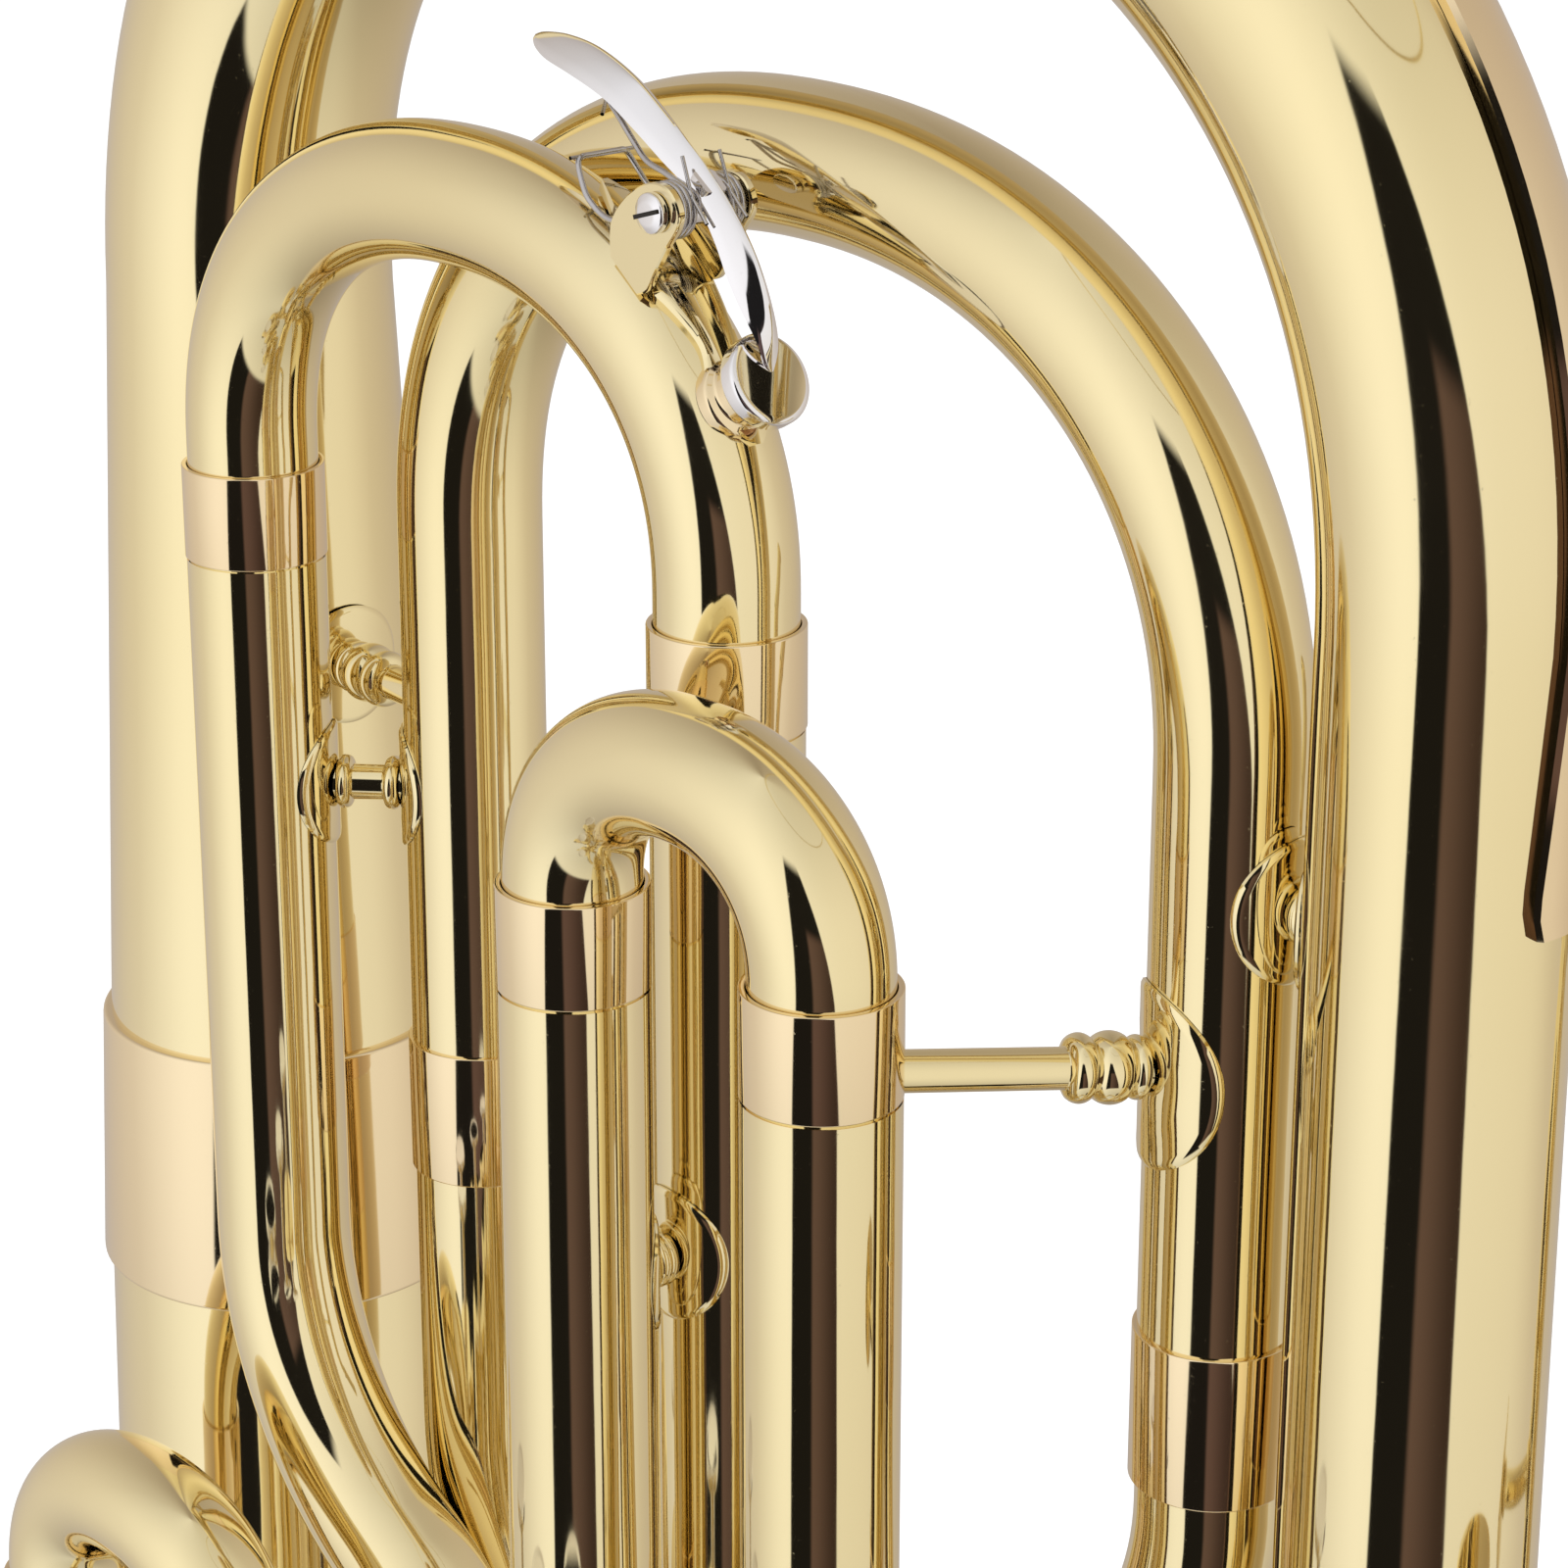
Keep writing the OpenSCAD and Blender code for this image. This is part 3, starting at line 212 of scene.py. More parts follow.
def polished(name, colour, shade, rough, coat, dent):
    """Buffed metal: its colour drifts towards shade, and its polish is softer in patches."""
    metal = bpy.data.materials.new("polished_" + name)
    metal["slot"] = name
    s = Shader(metal)
    tone = s.blend(s.step(s.noise(9, 3), 0.35, 0.7), (*colour, 1), (*shade, 1))
    dust = s.step(s.noise(2400, 1), 0.72, 0.80)
    haze = s.step(s.noise(60, 4), 0.4, 0.75)
    ripple = s.noise(34, 1) + 0.16 * s.noise(150, 1)
    bump = s.add("ShaderNodeBump", None,
                 {"Strength": 1.0, "Distance": 1.0, "Height": ripple * dent})
    s.add("ShaderNodeOutputMaterial", None, {"Surface": s.add("ShaderNodeBsdfPrincipled", None, {
        "Base Color": tone, "Metallic": 1.0, "Roughness": rough + 0.03 * haze + 0.12 * dust,
        "Coat Weight": coat, "Coat Roughness": 0.03, "Normal": bump})})
    return metal


brass = polished("lacquered_brass", (0.87, 0.745, 0.44), (0.85, 0.715, 0.39), 0.05, 0.35, 0.00009)


def arc(at, way, radius, turn, side, step=2.5):
    """Places and headings along a bend to one side, after its first point."""
    side = (side - way * side.dot(way)).normalized()
    hub = at + side * radius
    count = max(2, round(turn / step))
    return [(hub + (way * sin(a) - side * cos(a)) * radius, way * cos(a) + side * sin(a))
            for a in (radians(turn) * i / count for i in range(1, count + 1))]


def route(start, heading, *steps):
    """Run of a bent tube: a number is a straight, (radius, degrees, side) a bend to that side."""
    run = [(Vector(start), Vector(heading).normalized())]
    for step in steps:
        at, way = run[-1]
        if isinstance(step, tuple):
            run += arc(at, way, step[0], step[1], Vector(step[2]))
        else:
            run.append((at + way * step, way))
    return run


def distances(run):
    """Length along the run at each of its points."""
    far = [0.0]
    for (a, _), (b, _) in zip(run, run[1:]):
        far.append(far[-1] + (b - a).length)
    return far


def skin(rings, closed=True, ends=False):
    """Vertices and faces of a skin over rings of points."""
    n = len(rings[0])
    points = [p for ring in rings for p in ring]
    faces = [(i * n + j, i * n + (j + 1) % n, (i + 1) * n + (j + 1) % n, (i + 1) * n + j)
             for i in range(len(rings) - 1) for j in range(n if closed else n - 1)]
    if ends:
        faces += [tuple(range(n))[::-1], tuple(range(len(points) - n, len(points)))]
    return points, faces


def tube(run, radius, wall=0.55 * mm, sides=96):
    """Drawn tube along a run; the radius is a number or follows the length along the run."""
    size = radius if callable(radius) else lambda s: radius
    far = distances(run)
    way = run[0][1]
    across = way.orthogonal().normalized()
    rings = []
    lip = []
    for (at, now), s in zip(run, far):
        across = way.rotation_difference(now) @ across
        way = now
        up = way.cross(across)
        spokes = [across * cos(2 * pi * j / sides) + up * sin(2 * pi * j / sides)
                  for j in range(sides)]
        if s in (far[0], far[-1]):
            inward = way if s == far[0] else -way
            lip.append([[at + d * (size(s) - wall) + inward * deep for d in spokes]
                        for deep in (4 * mm, 0)])
        rings.append([at + d * size(s) for d in spokes])
    return skin(lip[0] + rings + lip[-1][::-1])


def lathe(profile, place, axis, sides=96):
    """Turned part: profile holds (radius, height) along the axis from the place."""
    turn = Z.rotation_difference(Vector(axis))
    return skin([[Vector(place) + turn @ Vector((max(r, 1e-6) * cos(2 * pi * j / sides),
                                                 max(r, 1e-6) * sin(2 * pi * j / sides), h))
                  for j in range(sides)] for r, h in profile])


def softened(profile, radius):
    """The profile with its inner corners rounded by a small radius."""
    soft = [profile[0]]
    for before, corner, after in zip(profile, profile[1:], profile[2:]):
        corner = Vector(corner)
        back, on = Vector(before) - corner, Vector(after) - corner
        a = corner + back.normalized() * min(radius, back.length * 0.45)
        b = corner + on.normalized() * min(radius, on.length * 0.45)
        soft += [tuple(a * (1 - t) ** 2 + corner * 2 * t * (1 - t) + b * t * t)
                 for t in (0, 0.25, 0.5, 0.75, 1)]
    return soft + [profile[-1]]


def piece(name, parts, finish, body, nodes, crease=32):
    """One object out of finished parts: it takes a finish, rides on a body and stands for nodes."""
    mesh = bpy.data.meshes.new(name)
    points, faces = [], []
    for part_points, part_faces in parts:
        faces += [tuple(i + len(points) for i in face) for face in part_faces]
        points += part_points
    mesh.from_pydata(points, [], faces)
    shape = bmesh.new()
    shape.from_mesh(mesh)
    bmesh.ops.remove_doubles(shape, verts=shape.verts, dist=2e-6)
    bmesh.ops.dissolve_degenerate(shape, edges=shape.edges, dist=1e-6)
    bmesh.ops.recalc_face_normals(shape, faces=shape.faces)
    shape.to_mesh(mesh)
    shape.free()
    mesh.shade_smooth()
    mesh.set_sharp_from_angle(angle=radians(crease))
    made = bpy.data.objects.new("shown_" + name, mesh)
    bpy.context.scene.collection.objects.link(made)
    mesh.materials.append(finish)
    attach(made, body)
    if nodes:
        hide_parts(*nodes)
    return made


def strip(run, radius, start, end, thick, spread, sides=14):
    """Strip soldered over a bend: its section spans the angles from the outer side to +Y."""
    far = distances(run)
    rings = []
    for (at, way), s in zip(run, far):
        out = Y.cross(way)
        a0, a1 = radians(start(s)), radians(end)
        full = spread(s / far[-1])
        mid = (a0 + a1) / 2
        a0, a1 = mid + (a0 - mid) * full, mid + (a1 - mid) * full
        low = radius(s)
        high = low + thick
        edge = thick * 0.35 / high
        top = [(high, a0 + edge + (a1 - a0 - 2 * edge) * j / sides) for j in range(sides + 1)]
        rim = [(high - thick * 0.35, a1), (low, a1)]
        under = [(low, a1 + (a0 - a1) * j / 6) for j in range(1, 6)]
        start_rim = [(low, a0), (high - thick * 0.35, a0)]
        rings.append([at + out * r * cos(a) + Y * r * sin(a)
                      for r, a in top + rim + under + start_rim])
    return skin(rings, ends=True)


lo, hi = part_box("bottom_bow")
bottom_foot = hi.z
bottom_y = (lo.y + hi.y) / 2
bottom_small, bottom_wide = 24.5 * mm, 29 * mm
bottom_left = lo.x + bottom_small
bell_x = hi.x - bottom_wide
bottom_radius = (bell_x - bottom_left) / 2
bottom_run = route((bottom_left, bottom_y, bottom_foot), -Z, (bottom_radius, 180, X))
piece("bottom_bow", [tube(bottom_run, lambda s: bottom_small
                          + (bottom_wide - bottom_small) * s / (pi * bottom_radius), sides=128)],
      brass, "horn", ["bottom_bow"])
guard_run = route((bell_x, bottom_y, bottom_foot), -Z, (bottom_radius, 180, -X))[17:56]
piece("bottom_guard", [strip(guard_run, lambda s: 0.05 * mm + bottom_wide
                             - (bottom_wide - bottom_small) * (s / (pi * bottom_radius) + 0.24),
                             lambda s: -40, 40, 1.2 * mm,
                             lambda u: min(1, 0.25 + 6 * u, 0.25 + 6 * (1 - u)))],
      brass, "horn", ["bottom_bow_guard"])

# Bell: a long flare spun from sheet brass, with a wire rolled into its rim. It is brazed to
# the wide end of the bottom bow and stands beside the branches.
bell_lo, bell_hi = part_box("bell")
bell_axis = Vector((bell_x, bottom_y, 0))
bell_foot, bell_mouth = bell_lo.z, bell_hi.z
mouth_r = (bell_hi.x - bell_lo.x) / 2
rim_lo, rim_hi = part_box("bell_rim_wire")
rim_wire = (rim_hi.z - rim_lo.z) / 2


def bell_at(z):
    """Radius of the bell at a height."""
    t = (z - bell_foot) / (bell_mouth - bell_foot)
    return bottom_wide + 4 * mm * t + (mouth_r - bottom_wide - 4 * mm) * t ** 6


bell_heights = [(i / 90) ** 0.6 for i in range(91)]
bell_heights = [bell_foot + (bell_mouth - bell_foot) * t for t in bell_heights]
bell_wall = [(bell_at(z), z) for z in bell_heights]
bell_wall += [(bell_at(z) - 0.6 * mm, z) for z in reversed(bell_heights)]
bell = piece("bell", [lathe(bell_wall, bell_axis, Z, 144)], brass, "horn", ["bell"])
# The tubes in the photograph don't mirror the bell, so it is kept out of reflections.
bell.visible_glossy = False
rim = [(mouth_r - 0.3 * mm + rim_wire * (0.9 + cos(a)), bell_mouth + rim_wire * (1 + sin(a)))
       for a in (2 * pi * i / 24 for i in range(25))]
piece("bell_rim", [lathe(rim, bell_axis, Z, 144)], brass, "horn", ["bell_rim_wire"])

# Left branch: two drawn cones that join the top bow to the bottom bow. They meet in a wide
# ferrule at the height of the slides, which is rose brass like the other ferrules.
rose = polished("rose_ferrule", (0.87, 0.71, 0.45), (0.84, 0.65, 0.39), 0.05, 0.35, 0.00006)
lo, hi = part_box("top_bow")
top_y = (lo.y + hi.y) / 2
top_spring = lo.z
top_small, top_wide = 11.9 * mm, 16.5 * mm
top_left, top_right = lo.x + top_wide, hi.x - top_small
top_bend = 76 * mm
branch_taper = 0.043
lower_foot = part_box("left_branch_lower")[0].z
collar = 16 * mm
branch_ferrule_top, branch_ferrule_len = 129.4 * mm, 31.8 * mm


def branch_at(z):
    """Radius of the left branch at a height."""
    narrow = branch_ferrule_top - branch_ferrule_len
    if z > narrow:
        return top_wide + branch_taper * (top_spring - z)
    share = (narrow - z) / (narrow - lower_foot - collar)
    return branch_at(narrow + 1e-9) + (bottom_small - branch_at(narrow + 1e-9)) * min(share, 1)


def ferrule(place, inner_low, inner_high, length, thick, round_off=0.5 * mm):
    """Sleeve over a joint, standing on its lower end, with eased edges."""
    return lathe(softened([
        (inner_low - 0.3 * mm, 0), (inner_low + thick, 0), (inner_high + thick, length),
        (inner_high - 0.3 * mm, length)], round_off), place, Z)


# Wide ferrules: spun rose brass sleeves, slid over the joints of the body and soft-soldered.
foot = branch_ferrule_top - branch_ferrule_len
right_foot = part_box("right_branch")[0]
right_r = 12.2 * mm
tuning_lo, tuning_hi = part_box("tuning_slide_bow")
tuning_r = (tuning_hi.y - tuning_lo.y) / 2
tuning_y = (tuning_lo.y + tuning_hi.y) / 2
tuning_left, tuning_right = tuning_lo.x + tuning_r, tuning_hi.x - tuning_r
tuning_sleeve_r = 7.7 * mm
piece("wide_ferrules", [
    ferrule((top_left, top_y, foot), branch_at(foot), branch_at(branch_ferrule_top),
            branch_ferrule_len, 1.0 * mm),
    ferrule((top_left, top_y, bell_foot), bottom_small, bottom_small, 14 * mm, 1.0 * mm),
    ferrule((bell_x, bottom_y, bell_foot), bottom_wide, bottom_wide, 14 * mm, 1.1 * mm),
    ferrule((top_right, top_y, right_foot.z - 6 * mm), right_r, right_r, 14 * mm, 0.85 * mm),
    ferrule((tuning_right, tuning_y, 91 * mm), tuning_sleeve_r, tuning_sleeve_r, 12 * mm, 0.65 * mm),
], rose, "horn", ["body_ferrules"])

# Top bow and branches: the large bend at the top of the horn with the tubes below its ends, in
# one smooth skin. A rose brass guard is soldered along its outer edge, with a slanted tip.
def hoop(right, left, y, spring, height, steps=90):
    """Smooth curve of an upright bow, from its right leg over its crest to its left leg."""
    middle, half = (right + left) / 2, (right - left) / 2
    line = []
    for i in range(steps + 1):
        c, up = cos(pi * i / steps), sin(pi * i / steps)
        line.append(Vector((middle + half * abs(c) ** 0.913 * (1 if c > 0 else -1), y,
                            spring + height * max(up, 0) ** 0.913)))
    ways = [(b - a).normalized() for a, b in zip(line, line[2:])]
    return list(zip(line, [Z, *ways, -Z]))


top_run = hoop(top_right, top_left, top_y, top_spring, top_bend)
top_length = distances(top_run)[-1]
right_length = top_spring - right_foot.z
left_heights = [branch_ferrule_top, foot, lower_foot + collar, lower_foot]
branch_run = [(Vector((top_right, top_y, right_foot.z)), Z), *top_run,
              *((Vector((top_left, top_y, z)), -Z) for z in left_heights)]


def branch_radius(s):
    """Radius along the right branch, the top bow and the left branch."""
    if s <= right_length:
        return right_r + (top_small - right_r) * s / right_length
    if s <= right_length + top_length:
        return top_small + (top_wide - top_small) * (s - right_length) / top_length
    return branch_at(top_spring - (s - right_length - top_length))


piece("branches", [tube(branch_run, branch_radius, sides=128)], brass, "horn",
      ["right_branch", "top_bow", "left_branch_upper", "left_branch_lower"])
guard_foot = 24.8 * mm
guard_run = route((top_right, top_y, top_spring - guard_foot), Z, *[guard_foot / 12] * 11)
guard_run += top_run[:68]
piece("top_guard", [strip(guard_run, lambda s: top_small + 0.05 * mm
                          + (top_wide - top_small) * max(s - guard_foot, 0) / top_length,
                          lambda s: -4 - 11 * max(guard_foot - s, 0) / guard_foot, 65, 1.25 * mm,
                          lambda u: min(1, 0.9 + 9 * u, 0.3 + 9 * (1 - u)))],
      rose, "horn", ["top_bow_guard"])

# Middle bow: a thinner bend between the tuning slide and the low bow. Its legs end in two
# short ferrules, and below them run the return bow and the low bow.
middle_lo, middle_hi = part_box("middle_bow")
middle_wide, middle_small = 7.98 * mm, 7.43 * mm
middle_y = (middle_lo.y + middle_hi.y) / 2
middle_left, middle_right = middle_lo.x + middle_wide, middle_hi.x - middle_small
middle_bend = 48 * mm
middle_spring = 200.3 * mm
middle_len = 15.8 * mm
right_collar, left_collar = 144.8 * mm, 139.1 * mm
right_joint, left_joint = right_collar - middle_len / 2, left_collar - middle_len / 2
middle_run = [(Vector((middle_right, middle_y, right_joint)), Z),
              *hoop(middle_right, middle_left, middle_y, middle_spring, middle_bend),
              (Vector((middle_left, middle_y, left_joint)), -Z)]
middle_length = distances(middle_run)[-1]
piece("middle_bow", [tube(middle_run, lambda s: middle_small + (middle_wide - middle_small)
                          * min(max(2 * s / middle_length - 0.5, 0), 1))],
      brass, "horn", ["middle_bow"])
piece("middle_ferrules", [
    ferrule((middle_right, middle_y, right_collar - middle_len), middle_small, middle_small,
            middle_len, 0.45 * mm, 0.15 * mm),
    ferrule((middle_left, middle_y, left_collar - middle_len), middle_wide, middle_wide,
            middle_len, 0.45 * mm, 0.15 * mm)], rose, "horn", ["middle_bow_ferrules"])
low_bend = 50 * mm
low_start = 91 * mm
across = Vector((top_right - middle_left, top_y - middle_y, 0))
low_flat = across.length - 2 * low_bend
low_run = route((middle_left, middle_y, left_joint), -Z, left_joint - low_start,
                (low_bend, 90, across), low_flat, (low_bend, 90, Z), right_foot.z - low_start)
low_turn = left_joint - low_start + low_bend * pi / 2
piece("low_bow", [tube(low_run, lambda s: middle_wide + (right_r - 0.7 * mm - middle_wide)
                       * min(max(s - low_turn, 0) / low_flat, 1))], brass, "horn", ["low_bow"])
over = Vector((middle_right - tuning_right, middle_y - tuning_y, 0))
lean = asin(0.352)
return_bend, return_top = 21 * mm, 40 * mm
slant = (over.length - return_bend * (1 + cos(lean)) - return_top * (1 - cos(lean))) / sin(lean)
rise = right_joint - 91 * mm - slant * cos(lean) - (return_top - return_bend) * sin(lean)
piece("return_bow", [tube(route((tuning_right, tuning_y, 97 * mm), -Z, 6 * mm,
                                (return_bend, 180 - degrees(lean), over), slant,
                                (return_top, degrees(lean), Z), rise), middle_small - 0.25 * mm)],
      brass, "horn", ["return_bow"])

# Main tuning slide: its right sleeve leads to the return bow, and its left one curves over to
# the third valve. The sleeves are thin brass, with a ferrule round each open end.
tuning_rim, tuning_ferrule_len, tuning_ferrule_r = 206.1 * mm, 10.4 * mm, 7.86 * mm
tuning_bend = 32.83 * mm
tuning_spring = tuning_hi.z - tuning_r - tuning_bend
port_z = 2 * mm
casing_r = (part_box("valve_casing_3")[1].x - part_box("valve_casing_3")[0].x) / 2
valves = [Vector(((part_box(n)[0].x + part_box(n)[1].x) / 2, (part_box(n)[0].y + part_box(n)[1].y) / 2, 0))
          for n in ("valve_casing_1", "valve_casing_2", "valve_casing_3")]
feed_z, feed_bend, feed_turn = 115 * mm, 41 * mm, asin(0.8432)
feed_gap = 5 * mm
feed_small = ((valves[2].x - tuning_left - feed_gap * sin(feed_turn)) / (1 - cos(feed_turn))
              - feed_bend)
feed_end = feed_z - (feed_bend + feed_small) * sin(feed_turn) - feed_gap * cos(feed_turn)
sleeve_top = tuning_rim - tuning_ferrule_len - 0.25 * mm
groove = tuning_ferrule_len - 1 * mm


def sleeve_neck(x, y, top, leg_r, sleeve_r, length):
    """Thin end of a sleeve, which shows as a fine line below its ferrule."""
    return tube(route((x, y, top - 1 * mm), Z, length), (leg_r + sleeve_r) / 2)


piece("tuning_feed", [tube(route((tuning_left, tuning_y, sleeve_top), -Z, sleeve_top - feed_z,
                                 (feed_bend, degrees(feed_turn), X), feed_gap,
                                 (feed_small, degrees(feed_turn), -Z),
                                 feed_end - port_z - 20 * mm, (20 * mm, 90, -Y),
                                 tuning_y - 20 * mm - casing_r + 0.8 * mm), tuning_sleeve_r),
                      sleeve_neck(tuning_left, tuning_y, sleeve_top, tuning_r, tuning_sleeve_r, groove)],
      brass, "horn", ["tuning_feed_tube"])
piece("tuning_return", [tube(route((tuning_right, tuning_y, 97 * mm), Z, sleeve_top - 97 * mm),
                             tuning_sleeve_r),
                        sleeve_neck(tuning_right, tuning_y, sleeve_top, tuning_r, tuning_sleeve_r, groove)],
      brass, "horn", ["tuning_return_tube"])


def slide_ferrule(rim, axis, leg_r, outer_r, length):
    """Ferrule of a slide's sleeve, with its rim at the given place and its skirt behind it."""
    return lathe(softened([(leg_r + 0.3 * mm, -length), (outer_r, -length), (outer_r, 0),
                           (leg_r + 0.08 * mm, 0), (leg_r + 0.08 * mm, -length + 0.5 * mm)],
                          0.14 * mm), rim, axis)


piece("tuning_ferrules", [slide_ferrule((x, tuning_y, tuning_rim), Z, tuning_r, tuning_ferrule_r,
                                        tuning_ferrule_len) for x in (tuning_left, tuning_right)],
      rose, "horn", ["tuning_ferrules"])


def bow_run(right, y, foot, spring, left, bend):
    """Run of an upright bow from the foot of its right leg, over, and down its left leg."""
    return [(Vector((right, y, foot)), Z), *hoop(right, left, y, spring, bend),
            (Vector((left, y, foot)), -Z)]


silver = polished("nickel_silver", (0.80, 0.78, 0.74), (0.74, 0.71, 0.66), 0.07, 0.0, 0.00004)
piece("tuning_bow", [tube(bow_run(tuning_right, tuning_y, tuning_lo.z, tuning_spring, tuning_left,
                                  tuning_bend), tuning_r)],
      brass, "tuning_slide", ["tuning_slide_bow"])


def slide_legs(name, body, node, places, axis, radius):
    """Hidden legs of a slide, drawn in nickel silver so that they run in the brass sleeves."""
    lo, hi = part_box(node)
    length = (hi - lo).dot(Vector([abs(v) for v in axis]))
    return piece(name, [tube(route(p, axis, length - 0.4 * mm), radius, 0.5 * mm) for p in places],
                 silver, body, [node])


tuning_legs_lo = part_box("tuning_slide_legs")[0].z
slide_legs("tuning_legs", "tuning_slide", "tuning_slide_legs",
           [(x, tuning_y, tuning_legs_lo) for x in (tuning_left, tuning_right)], Z,
           tuning_r - 0.04 * mm)

# Water key: a nickel-plated lever on a screw axle lets the player drain the tuning slide. Its
# brass saddle is soldered to the bow, and a cork in the cup seals the nipple.
nickel = polished("nickel_plate", (0.86, 0.84, 0.84), (0.80, 0.78, 0.78), 0.05, 0.0, 0.00003)
steel = polished("spring_steel", (0.52, 0.50, 0.50), (0.42, 0.40, 0.40), 0.18, 0.0, 0.00002)
cork = bpy.data.materials.new("natural_cork")
cork["slot"] = "cork"
s = Shader(cork)
grain = s.step(s.noise(1400, 4), 0.35, 0.7)
pit = s.step(s.noise(2600, 2), 0.6, 0.7)
s.add("ShaderNodeOutputMaterial", None, {"Surface": s.add("ShaderNodeBsdfPrincipled", None, {
    "Base Color": s.blend(grain, (0.62, 0.33, 0.21, 1), (0.78, 0.48, 0.34, 1)),
    "Roughness": 0.75 + 0.15 * pit,
    "Normal": s.add("ShaderNodeBump", None, {"Strength": 0.6, "Distance": 0.0003,
                                             "Height": grain - pit})})})
key_centre = Vector((tuning_right - tuning_bend, tuning_y, tuning_spring))
bow_top = tuning_bend + tuning_r
cup_t, axle_t = 30, 52.5
axle_rho = bow_top + 7.2 * mm
axle_r, coil_r, hub_r, hub_half = 1 * mm, 2.55 * mm, 1.8 * mm, 3.9 * mm
nipple_h = 2.9 * mm
cup_r = 4.6 * mm
ear_y = 5 * mm


def over_bow(rho, t, y=0.0):
    """Place over the tuning bow's right shoulder: radius, angle in degrees, and depth."""
    return key_centre + Vector((rho * cos(radians(t)), y, rho * sin(radians(t))))


def outward(t):
    """Direction away from the shoulder's centre."""
    return Vector((cos(radians(t)), 0, sin(radians(t))))


piece("key_nipple", [lathe(softened([
    (4.3 * mm, -0.9 * mm), (4.2 * mm, 0.35 * mm), (3.3 * mm, 0.9 * mm), (3.2 * mm, nipple_h - 0.3 * mm),
    (2.7 * mm, nipple_h), (1.7 * mm, nipple_h), (1.7 * mm, -1 * mm)], 0.3 * mm),
    over_bow(bow_top, cup_t), outward(cup_t), 64)], rose, "tuning_slide", ["water_key_nipple"])


def through(knots, steps=8):
    """Smooth curve through a list of vectors."""
    p = [knots[0]] + list(knots) + [knots[-1]]
    line = []
    for a, b, c, d in zip(p, p[1:], p[2:], p[3:]):
        for i in range(steps):
            t = i / steps
            line.append(0.5 * (2 * b + (c - a) * t + (2 * a - 5 * b + 4 * c - d) * t * t
                               + (3 * b - a - 3 * c + d) * t ** 3))
    return line + [knots[-1]]


# The saddle is a leaf of brass bent to the bow, from the axle's ears down to the nipple. Each
# pair is an angle on the shoulder and the leaf's half width round the tube.
leaf_widths = [(68, 3), (64, 12), (60, 20), (57, 24), (53, 27), (48, 29.5), (45, 26), (42, 22),
               (40, 19.5), (37.5, 18), (35, 20.5), (33, 25), (31, 26.5), (28.5, 25), (26, 18),
               (24, 9), (23, 3)]


def leaf():
    """Leaf of the saddle, with edges that are eased down to the bow."""
    rings = []
    for t, width in through([Vector(pair) for pair in leaf_widths], 5):
        section = []
        for rise, span in ((0.95 * mm, 1), (-0.3 * mm, -1)):
            for j in range(25):
                a = radians(width) * (1 - 2 * j / 24) * span
                fall = 0.35 * mm * max(0, abs(1 - 2 * j / 24) * 6 - 5) if span > 0 else 0
                r = tuning_r + rise - fall
                section.append(over_bow(tuning_bend + r * cos(a), t, r * sin(a)))
        rings.append(section)
    return skin(rings, ends=True)


# Outline of an ear: height above the bow in millimetres and angle on the shoulder.
ear_outline = [(-1.2, 55.6), (0.3, 57.2), (2, 58.2), (4.5, 57.9), (7.2, 56.6), (9.2, 54.8),
               (10.2, 52.4), (9.6, 49.9), (8.2, 48.9), (5.4, 48.6), (2.4, 48), (0.2, 47.5),
               (-1.2, 48.4)]


def ear(side):
    """Upright cheek of the saddle with the eye for the axle."""
    rings = []
    outline = through([Vector(pair) for pair in ear_outline], 5)
    middle = over_bow(axle_rho - 3 * mm, axle_t)
    for depth, ease in ((-0.45, 0.15), (-0.3, 0), (0.3, 0), (0.45, 0.15)):
        ring = []
        for h, t in outline:
            at = over_bow(bow_top + h * mm, t)
            at += (middle - at).normalized() * ease * mm
            ring.append(at + Y * (side * (ear_y - 0.45 * mm) + depth * mm))
        rings.append(ring)
    return skin(rings, ends=True)


piece("key_saddle", [leaf(), ear(-1), ear(1)], brass, "tuning_slide", ["water_key_saddle"], crease=40)
axle = over_bow(axle_rho, axle_t)
screw_head = softened([(0, 1.35 * mm), (1.2 * mm, 1.3 * mm), (2 * mm, 0.9 * mm), (2 * mm, 0.1 * mm),
                       (1 * mm, 0.1 * mm)], 0.2 * mm)
head = lathe(screw_head, axle - Y * ear_y, -Y, 64)
shaft = tube(route(axle - Y * (ear_y + 0.2 * mm), Y, 2 * ear_y + 1 * mm), axle_r, 0.3 * mm, 32)
nut = lathe(softened([(0, 1.1 * mm), (1.6 * mm, 1.1 * mm), (1.6 * mm, 0.05 * mm), (axle_r, 0.05 * mm)],
                     0.2 * mm), axle + Y * ear_y, Y, 48)
slot_way = (outward(axle_t) * 0.62 + Vector((0.6, 0, -0.75)) * 0.4).normalized()
slot_across = slot_way.cross(Y).normalized()
slot = skin([[axle - Y * (ear_y + h) + slot_way * 1.75 * mm * u + slot_across * 0.22 * mm * v
              for u, v in ((-1, -1), (1, -1), (1, 1), (-1, 1))]
             for h in (1.2 * mm, 1.37 * mm)], ends=True)
shadow = polished("slot_shadow", (0.05, 0.045, 0.04), (0.03, 0.03, 0.03), 0.5, 0.0, 0.00002)
piece("key_screw", [head, shaft, nut], nickel, "tuning_slide", ["water_key_screw"])
piece("key_screw_slot", [slot], shadow, "tuning_slide", [])


def smooth_line(knots, steps=8):
    """Smooth run through a list of places."""
    line = through(knots, steps)
    return [(at, ((line[min(i + 1, len(line) - 1)] - line[max(i - 1, 0)]).normalized()))
            for i, at in enumerate(line)]


# The spring is one steel wire: a square loop that bears on the bow behind the saddle, a coil on
# each side of the hub, and a narrow loop that lifts the lever and turns with it.
key_along = Vector((-sin(radians(axle_t)), 0, cos(radians(axle_t))))


